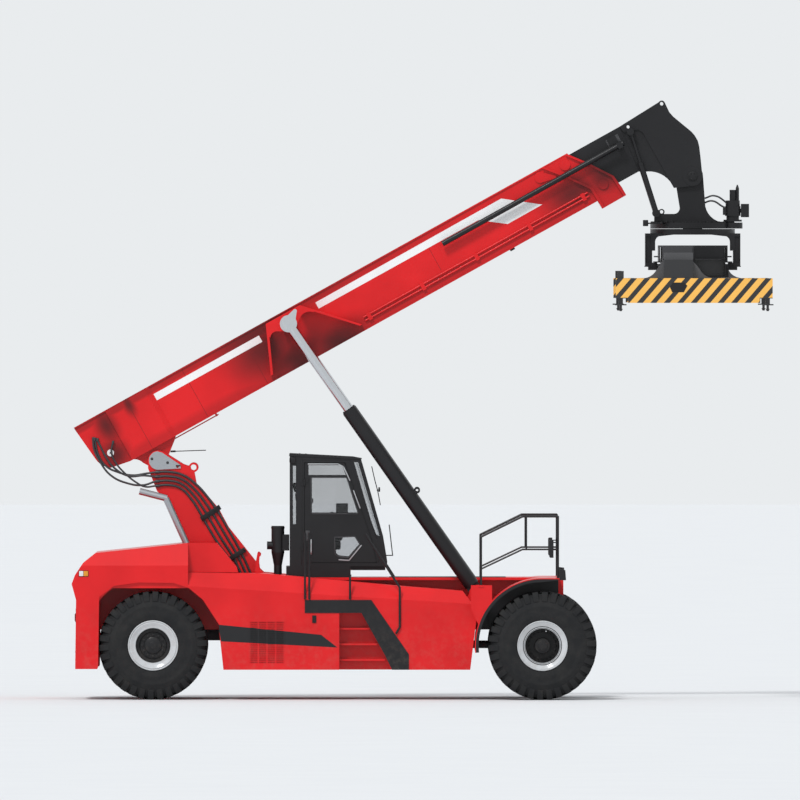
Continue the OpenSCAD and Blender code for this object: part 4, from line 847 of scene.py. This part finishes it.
def boom_stripes():
    """White reflecting bands on both sides of the outer boom, the long one with its slanting end."""
    bm = bmesh.new()
    for outline in BOOM_STRIPES:
        join(bm, plate(outline, -BOOM_SIDE / MM - PAINT, -BOOM_SIDE / MM + 0.5), ON_BOOM)
    mirrored(bm)
    piece("boom_stripes", bm, WHITE, "outer_boom")
    bm = bmesh.new()
    # Boss behind the boxes, painted white round its hole
    ring = lathe([(15, 0), (54, 0), (54, 3), (52, 4), (15, 4)], 48)
    join(bm, ring, ON_BOOM @ Matrix.Translation((-0.585, -0.378, 0.46)))
    mirrored(bm)
    piece("boss_rings", bm, WHITE, "outer_boom")
    bm = bmesh.new()
    # Painted shadow in the joints of the plates: dark strips on the boxes and on the sides
    for u, side, low, high in BOOM_SEAM_SHADOWS:
        join(bm, block((u - 3, -side - 1.2, low), (u + 3, -side + 0.5, high)), ON_BOOM)
    mirrored(bm)
    piece("boom_seam_shadows", bm, SHADOW_RED, "outer_boom")


# Thickness of the white bands, their outlines, and the joints' strips of painted shadow: place along the boom, half
# width, lower and upper end
PAINT = 1.5
BOOM_SEAM_SHADOWS = [(17, 420, 205, 1050), (1002, 360, 225, 1050), (2060, 360, 225, 812), (5250, 360, 440, 838)]
BOOM_STRIPES = [
    [(405, 820), (2300, 820), (2300, 930), (405, 930)],
    [(3310, 843), (6129, 838), (6495, 566), (7108, 568), (6599, 958), (3310, 950)],
]

# Hoses on the tower: the upper and the lower one of four, in x and z
TOWER_UPPER = [
    (-4112, 3500), (-3921, 3505), (-3700, 3462), (-3480, 3310), (-3300, 3110), (-3140, 2880), (-2978, 2600),
    (-2789, 2261), (-2600, 1850),
]
TOWER_LOWER = [
    (-4112, 3287), (-3900, 3300), (-3720, 3250), (-3560, 3090), (-3420, 2870), (-3290, 2640), (-3130, 2380),
    (-2978, 2167), (-2830, 1850),
]
TOWER_HOSE_Y = -411
TOWER_FACE = -391
# Clamp bars across the hoses, in x and z, each with the places of its bolts
CLAMPS = [
    (
        [(-3425, 2805), (-3385, 2735), (-3090, 2930), (-3130, 3000)],
        [(-3385, 2790), (-3290, 2852), (-3200, 2910), (-3130, 2958)],
    ),
    ([(-3010, 2172), (-2968, 2106), (-2700, 2275), (-2742, 2341)], [(-2960, 2160), (-2735, 2300)]),
]
# Loops that hang between the tower and the boom's rear: radius, then x and z, the tower's end first
LOOPS = [
    (16, [(-4112, 3500), (-4250, 3480), (-4470, 3452), (-4690, 3500), (-4870, 3590), (-4990, 3760), (-5050, 4010)]),
    (16, [(-4112, 3430), (-4290, 3448), (-4520, 3440), (-4740, 3560), (-4880, 3740), (-4960, 3900), (-5010, 4000)]),
    (16, [(-4112, 3358), (-4300, 3300), (-4550, 3330), (-4800, 3450), (-4960, 3650), (-5060, 3860), (-5075, 4015)]),
    (14, [(-4112, 3287), (-4270, 3275), (-4420, 3350), (-4590, 3490), (-4720, 3640), (-4790, 3800), (-4770, 3960)]),
]


def tower_hoses():
    """Four hoses down the right side of the tower, and the loops that let the boom rise."""
    bm = bmesh.new()
    for i in range(4):
        line = []
        for a, b in zip(TOWER_UPPER, TOWER_LOWER):
            line.append((a[0] + (b[0] - a[0]) * i / 3, TOWER_HOSE_Y, a[1] + (b[1] - a[1]) * i / 3))
        join(bm, hose(line, 19))
        # Crimped sleeve at the upper end
        join(bm, rod(line[0], (line[0][0] + 70, TOWER_HOSE_Y, line[0][2] + 2), 24, 16, edge=3))
    piece("tower_hose_run", bm, HOSE, "chassis", ["tower_hoses"], 60)
    bm = bmesh.new()
    for outline, bolts in CLAMPS:
        join(bm, plate(outline, -442, -430, 4))
        for x, z in bolts:
            join(bm, rod((x, -430, z), (x, TOWER_FACE, z), 8, 12))
            bolt(bm, None, 22, (x, -442, z), (0, -1, 0))
    # Stubs that carry the loops' lower ends
    upper, lower = TOWER_UPPER[0][1], TOWER_LOWER[0][1]
    for i in range(4):
        z = upper + (lower - upper) * i / 3
        join(bm, rod((-4080, TOWER_HOSE_Y, z), (-4080, TOWER_FACE, z), 14, 12))
    piece("hose_clamps", bm, BLACK, "chassis")
    ends = bmesh.new()
    for i, (radius, line) in enumerate(LOOPS):
        far = -378 - 22 * (i % 2)
        share = [k / (len(line) - 1) for k in range(len(line))]
        bm = bmesh.new()
        join(bm, hose([(x, TOWER_HOSE_Y + (far - TOWER_HOSE_Y) * t, z) for (x, z), t in zip(line, share)], radius, 10))
        made = piece("boom_loop_%d" % (i + 1), bm, HOSE, None, (), 60)
        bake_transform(made)
        x, z = line[-1]
        join(ends, rod((x, far, z - 30), (x + 8, far, z + 26), radius + 5, 16, edge=3))
        join(ends, rod((x + 4, far, z + 10), (x + 4, -359, z + 14), 12, 12))
    bm = ends
    piece("loop_ends", bm, CASTING, "outer_boom")


def lens_pair(name, lens, near, far, edge):
    """A lens between two corners, and its like on the other side."""
    bm = bmesh.new()
    join(bm, block(near, far, edge))
    mirrored(bm)
    piece(name, bm, lens, "chassis")


def lamps():
    """Lenses of the head lamps, and the white and amber ones of the lamps on the body's sides."""
    low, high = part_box("lamps")
    rear, front = low.x / MM, high.x / MM
    for name, lens, near, far, edge in (
        ("head_lenses", CLEAR_LENS, (front - 26, -2044, 1866), (front - 12, -1936, 1984), 4),
        ("rear_lenses_white", CLEAR_LENS, (rear + 6, -1664, 1906), (rear + 70, -1655, 1984), 3),
        ("rear_lenses_amber", AMBER_LENS, (rear + 74, -1664, 1906), (rear + 144, -1655, 1984), 3),
    ):
        lens_pair(name, lens, near, far, edge)


# Radius on which the ring's bolts stand, and the patch's outline in x and z
RING_BOLTS_R = 632
BEAM_PATCH = [(-375, -1712), (-330, -1640), (-150, -1640), (-106, -1690), (-160, -1790), (-340, -1790)]


def head_details():
    """Work lamp, ring bolts, pin caps and motor hoses on the yoke, and a black patch on the right end beam."""
    bm = bmesh.new()
    # Work lamp on its arm
    join_all(
        bm,
        block((-772, -632, -772), (-690, -522, -676), 8),
        block((-694, -590, -738), (-440, -560, -716), 3),
        block((-470, -590, -738), (-440, -440, -716), 3),
        at=ON_HEAD,
    )
    for across, up in around(36, RING_BOLTS_R):
        bolt(bm, ON_HEAD, 30, (across, up, -716), (0, 0, 1))
    for s in (1, -1):
        # Caps on the head pivot and the dampers' pins
        join(bm, rod((0, s * 306, 0), (0, s * 322, 0), 74, 40, edge=5), ON_HEAD)
        for across, up in around(6, 52):
            bolt(bm, ON_HEAD, 18, (across, s * 322, up), (0, s, 0))
    piece("ring_bolts", bm, BLACK, "yoke")
    bm = bmesh.new()
    for s in (1, -1):
        for reach, x in ((380, 560), (300, 590)):
            line = [(x + 80, 205, -560), (x + 20, 150, -520), (x - 90, 120, -reach - 90)]
            line += [(x - 260, 90, -reach), (x - 400, 80, -reach - 40)]
            join(bm, hose([(u, s * v, w) for u, v, w in line], 14), ON_HEAD)
    piece("motor_hoses", bm, HOSE, "yoke", (), 60)
    bm = bmesh.new()
    join(bm, plate(BEAM_PATCH, -3027.2, -3025.5), ON_HEAD)
    piece("beam_patch", bm, BLACK, "spreader_arm_right")


def cushion(low, high, crown, cuts=6):
    """A padded block: soft edges, crowned faces and sides that pull in between the corners."""
    part = bmesh.new()
    bmesh.ops.create_cube(part, size=2)
    bmesh.ops.subdivide_edges(part, edges=part.edges, cuts=cuts, use_grid_fill=True)
    low, high = Vector(low), Vector(high)
    half, middle = (high - low) / 2, (high + low) / 2
    for v in part.verts:
        x, y, z = v.co
        swell = (1 - x * x) * (1 - y * y) * (1 - z ** 4 * 0.2)
        round_x = 1 - 0.1 * abs(z) ** 3 * abs(x) - 0.05 * (1 - y * y)
        round_y = 1 - 0.1 * abs(z) ** 3 * abs(y) - 0.05 * (1 - x * x)
        high_z = z * half.z * (1 - 0.25 * max(abs(x), abs(y)) ** 6) + crown * swell * z
        v.co = Vector((x * half.x * round_x, y * half.y * round_y, high_z)) + middle
    bmesh.ops.recalc_face_normals(part, faces=part.faces)
    return part


def cab_interior():
    """Driver's seat with arm rests, console, screen and steering wheel."""
    floor = 2060
    tilt = Matrix.Translation((-1.76, 0, 2.56)) @ rotation(-14, "Y")
    bm = bmesh.new()
    join(bm, cushion((-1700, -250, 2430), (-1220, 250, 2545), 12))
    join(bm, cushion((-62, -235, 10), (40, 235, 640), 0), tilt)
    join(bm, cushion((-50, -140, 655), (24, 140, 800), 0), tilt)
    for s in (1, -1):
        join(bm, cushion((-1690, s * 300 - 38, 2690), (-1370, s * 300 + 38, 2745), 3, 4))
    piece("seat_cushions", bm, SEAT, "chassis", (), 50)
    bm = bmesh.new()
    join_all(
        bm,
        block((-1640, -160, floor), (-1320, 160, 2300), 20),
        block((-1690, -230, 2300), (-1250, 230, 2440), 24),
        block((-1830, -60, 2420), (-1790, 60, 2900), 10),
    )
    for s in (1, -1):
        inner, outer = sorted((s * 200, s * 300))
        join_all(
            bm,
            block((-1600, s * 300 - 20, 2330), (-1520, s * 300 + 20, 2700), 8),
            block((-1600, inner, 2340), (-1520, outer, 2380), 6),
            # Levers on the arm rests
            rod((-1400, s * 300, 2740), (-1392, s * 300, 2830), 9, 12),
            rod((-1392, s * 300, 2826), (-1388, s * 300, 2880), 20, 16, 24, edge=6),
        )
    wheel = Matrix.Translation((-1.012, 0, 2.75)) @ rotation(-22, "Y")
    wheel @= rotation(90, "X")
    join_all(
        bm,
        # Console beside the door, with the screen on its stalk
        block((-1640, -640, floor), (-1360, -470, 2620), 25),
        block((-1640, -620, 2600), (-1180, -490, 2680), 20),
        rod((-1229, -500, 2650), (-1229, -480, 2890), 14, 16),
        block((-1322, -510, 2868), (-1136, -470, 3020), 12),
        # Dashboard and column
        block((-860, -330, floor), (-700, 330, 2440), 30),
        rod((-880, 0, 2380), (-1010, 0, 2740), 34, 20, 26),
    )
    join(bm, lathe([(195 + out, up) for out, up in around(10, 17)], 48), wheel)
    join(bm, rod((0, -14, 0), (0, 22, 0), 46, 24, edge=6), wheel)
    for turn in range(3):
        join(bm, rod((0, 0, 30), (0, 0, 185), 13, 10), wheel @ Matrix.Rotation(math.tau * turn / 3, 4, "Y"))
    join(bm, rod((160, 0, 108), (160, -60, 108), 16, 16, 20, edge=5), wheel)
    piece("cab_controls", bm, PLASTIC, "chassis", ["cab_seat"])
    bm = bmesh.new()
    join(bm, block((-1310, -513, 2880), (-1148, -509, 3008)))
    piece("screen", bm, SCREEN, "chassis")


def ribbon(line, wide, near, far, edge=0):
    """A flat strip of even width along a line in x and z, its straight runs lapped at the corners."""
    part = bmesh.new()
    for a, b in zip(line, line[1:]):
        a, b = Vector((a[0], 0, a[1])), Vector((b[0], 0, b[1]))
        run = (b - a).normalized()
        side = Vector((-run.z, 0, run.x)) * wide / 2
        reach = run * wide * 0.3
        corners = [a - reach - side, b + reach - side, b + reach + side, a - reach + side]
        merge(part, plate([(c.x, c.z) for c in corners], near, far, edge))
    return part


def cab_details():
    """Trim, seals, latch, lock and handle on each door; ribs, seams, wiper, work lamps and stays on the cab."""
    side = CAB_SIDE / MM
    for s, name in ((1, "left"), (-1, "right")):
        flip = mirror(-s)
        bm = bmesh.new()
        # Bright trim on the door frame's edge; its light grey is also a painted highlight along that edge
        for line in DOOR_TRIM_HIGHLIGHT:
            join(bm, ribbon(line, 17, -side - 7, -side + 1, 2), flip)
        piece("door_trim_highlight_" + name, bm, ALUMINIUM_AND_HIGHLIGHT, "cab_door_" + name, turned=True)
        bm = bmesh.new()
        for outline in DOOR_SEALS:
            join(bm, ribbon(outline + outline[:1], 16, -side - 4, -side + 1, 1.5), flip)
        join_all(
            bm,
            # Latch inside the window's rear edge, and the lock below
            block((-1712, -side - 16, 3020), (-1676, -side + 1, 3084), 5),
            block((-1790, -side - 8, 2440), (-1720, -side + 1, 2600), 4),
            rod((-1755, -side - 20, 2478), (-1755, -side, 2478), 16, 20, edge=3),
            at=flip,
        )
        piece("door_seals_" + name, bm, HOSE, "cab_door_" + name, turned=True)
        bm = bmesh.new()
        join(bm, hose([(-1704, -side - out, z) for out, z in HANDLE], 10), flip)
        piece("door_handle_" + name, bm, ALUMINIUM_AND_HIGHLIGHT, "cab_door_" + name, (), 60, True)
    bm = bmesh.new()
    # Roof ribs, pillar seams and the gutter
    for x, z in ((-1900, 3788), (-1806, 3783)):
        join(bm, block((x, -590, z - 14), (x + 30, 590, z), 4))
    for s in (1, -1):
        flip = mirror(-s)
        join_all(
            bm,
            ribbon([(-1848, 2080), (-1848, 3700), (-1100, 3690)], 12, -side - 5, -side + 1, 1.5),
            ribbon([(-1128, 3676), (-690, 2480), (-662, 2110)], 14, -side - 5, -side + 1, 1.5),
            # Rubber in the gap round the door, on the frame's inner side
            ribbon(DOOR_GAP, 46, -side + 50, -side + 62),
            # Work lamp under the roof's edge at the rear corner
            block((-2024, -side - 30, 3640), (-1944, -side + 1, 3730), 8),
            rod((-2040, -side - 14, 3685), (-2026, -side - 14, 3685), 34, 24, edge=3),
            at=flip,
        )
    join_all(
        bm,
        # Stay and wiper before the windscreen, and the bar before the lower front
        hose([(-770, -420, 3590), (-722, -420, 3380), (-676, -420, 3200), (-636, -420, 2990)], 7),
        rod((-690, -420, 3220), (-640, -440, 3230), 8, 12),
        rod((-668, -452, 3232), (-640, -452, 3232), 36, 20, edge=6),
        rod((-556, -560, 2216), (-446, -560, 2216), 8, 12),
        rod((-446, -560, 2209), (-500, -560, 2690), 8, 12),
    )
    piece("cab_fittings", bm, BLACK, "chassis", turned=True)


# Lines of the doors, in x and z: the bright trim, whose light grey is also a painted highlight along the door frame's
# edge, the gap round the door and the windows' seals
DOOR_TRIM_HIGHLIGHT = [
    [(-1751, 3628), (-1290, 3628), (-1205, 3585), (-1106, 3375)],
    [(-1050, 3218), (-949, 2946)],
    [(-1276, 2150), (-1120, 2140), (-930, 2372)],
]
# Handle: distance out from the door's face, and height
HANDLE = [(-2, 2236), (34, 2262), (38, 2350), (34, 2432), (-2, 2458)]
DOOR_GAP = [(-1812, 2090), (-1812, 3655), (-1180, 3655), (-764, 2462), (-690, 2100), (-1812, 2100)]
DOOR_SEALS = [
    [(-1704, 2860), (-1704, 3420), (-1157, 3420), (-976, 2860)],
    [(-1341, 2250), (-1341, 2495), (-1030, 2510), (-950, 2385), (-1126, 2180), (-1290, 2200)],
]


# Outer face of the pivot's keepers, and the length and radius of the lift barrels and the radius of their rods
KEEPER_FACE = -412
BARREL_LENGTH = 3455
BARREL_R = 116
LIFT_ROD_R = 77


def pin_details():
    """Bolts and slot of the keepers on the boom's pivot, and a sensor's rod beside them."""
    bm = bmesh.new()
    for x, z in ((-4165, 3705), (-3923, 3646)):
        bolt(bm, None, 30, (x, KEEPER_FACE, z), (0, -1, 0))
    join(bm, block((-3797, KEEPER_FACE - 3, 3588), (-3722, KEEPER_FACE + 1, 3612), 3))
    mirrored(bm)
    piece("keeper_bolts", bm, CASTING, "chassis")
    bm = bmesh.new()
    join(bm, rod((-3870, -300, 3820), (-3330, -300, 3838), 7, 12))
    join(bm, rod((-3880, -300, 3819), (-3800, -300, 3822), 15, 12, edge=2))
    piece("sensor_rod", bm, BLACK, "outer_boom")


def cylinder_details():
    """Glands at the mouths of the lift cylinders, with their bolts, the oil pipe along each barrel and its clamps."""
    for s, side in ((1, "left"), (-1, "right")):
        way = Vector(JOINTS["lift_stroke_" + side]["axis"])
        at = Matrix.Translation(place_of("lift_swing_" + side)) @ way.to_track_quat("Z", "Y").to_matrix().to_4x4()
        end = BARREL_LENGTH
        ring = at @ Matrix.Translation((0, 0, (end - 2) * MM)) @ rotation(90, "X")
        bm = bmesh.new()
        gland = [(LIFT_ROD_R + 3, 0), (LIFT_ROD_R + 3, 24), (BARREL_R - 18, 24), (BARREL_R - 8, 16), (BARREL_R - 8, 0)]
        join(bm, lathe(gland, 48), ring)
        for across, up in around(12, BARREL_R - 20):
            bolt(bm, at, 12, (across, up, end + 20), (0, 0, 1))
        # Pipe on the barrel's inner side
        near, out = s * (BARREL_R - 8), s * (BARREL_R + 22)
        line = [(near, 600), (out, 640), (out, 760), (out, end / 2)]
        line += [(out, end - 300), (out, end - 180), (near, end - 140)]
        join(bm, hose([(x, 0, z) for x, z in line], 13), at)
        for share in (0.24, 0.45, 0.7, 0.9):
            low_x, high_x = sorted((near, out + s * 18))
            join(bm, block((low_x, -26, end * share - 22), (high_x, 26, end * share + 22), 5), at)
        # Eye on the barrel's upper side
        eye = at @ Matrix.Translation((0, (BARREL_R + 30) * MM, 1.84)) @ rotation(90, "Z")
        join(bm, lathe([(22, -9), (46, -9), (46, 9), (22, 9)], 28), eye)
        piece("lift_fittings_" + side, bm, BLACK, "lift_barrel_" + side, turned=True)


def boom_fittings():
    """Lamp under the boom, and cover plates on the inner boom with their bolts."""
    bm = bmesh.new()
    join_all(
        bm,
        block((6330, -345, 178), (6410, -325, 232), 4),
        rod((6372, -300, 172), (6372, -300, 214), 40, 24, 30, edge=4),
        block((6340, -338, 196), (6404, -262, 232), 4),
        at=ON_BOOM,
    )
    piece("boom_lamp", bm, BLACK, "outer_boom")
    bm = bmesh.new()
    join(bm, block((8440, -306, 832), (8652, -298, 956), 3), ON_BOOM)
    for u, v in ((8456, 848), (8636, 848), (8456, 940), (8636, 940)):
        bolt(bm, ON_BOOM, 12, (u, -306, v), (0, -1, 0))
    mirrored(bm)
    piece("cover_plates", bm, GREY, "inner_boom")


# The counterweight's lower face lies this far ahead of its rearmost edge, and the right lamps' place across the tail
TAIL_RECESS = 66
TAIL_LAMP = -1330


def rear_details():
    """Radiator grille, lamp clusters and hitch plate at the tail, and the grip plate on the deck."""
    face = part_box("counterweight")[0].x / MM + TAIL_RECESS
    bm = bmesh.new()
    for z in range(990, 1370, 27):
        louvre = [(face - 10, z), (face + 4, z + 6), (face + 4, z + 14), (face - 10, z + 8)]
        join(bm, plate(louvre, -600, 600, 1))
    for y in (-608, -204, 196, 596):
        join(bm, block((face - 13, y, 975), (face + 4, y + 14, 1385), 3))
    for z in (968, 1378):
        join(bm, block((face - 14, -618, z), (face + 4, 618, z + 16), 4))
    # Hitch plate, flush with the tail
    join(bm, block((face - 14, -150, 560), (face + 2, 150, 760), 4))
    join(bm, rod((face - 18, 0, 660), (face - 8, 0, 660), 62, 32, edge=4))
    for y in (-110, 110):
        for z in (600, 720):
            bolt(bm, None, 20, (face - 13, y, z), (-1, 0, 0))
    for s in (-1, 1):
        join(bm, block((face - 14, s * TAIL_LAMP - 170, 1200), (face + 2, s * TAIL_LAMP + 170, 1330), 5))
    piece("tail_grille", bm, BLACK, "chassis", turned=True)
    for name, lens, middle in (("red", RED_LENS, -107), ("amber", AMBER_LENS, 0), ("clear", CLEAR_LENS, 107)):
        half = 50 if name == "amber" else 51
        near, far = TAIL_LAMP + middle - half, TAIL_LAMP + middle + half
        lens_pair("tail_lenses_" + name, lens, (face - 20, near, 1214), (face - 12, far, 1316), 3)
    bm = bmesh.new()
    top = DECK_TOP / MM
    join(bm, block((-500, -680, top - 1), (1300, 680, top + 4), 1.5))
    piece("deck_grip", bm, TREAD, "chassis")


make_camera()
make_stage()
make_lights()
dress_cad_nodes()
for s, side in ((1, "left"), (-1, "right")):
    steer_wheel(side, s)
    drive_wheels(side, s)
boom_stripes()
tower_hoses()
lamps()
head_details()
cab_interior()
cab_details()
pin_details()
cylinder_details()
boom_fittings()
rear_details()

scene.view_settings.view_transform = "Standard"
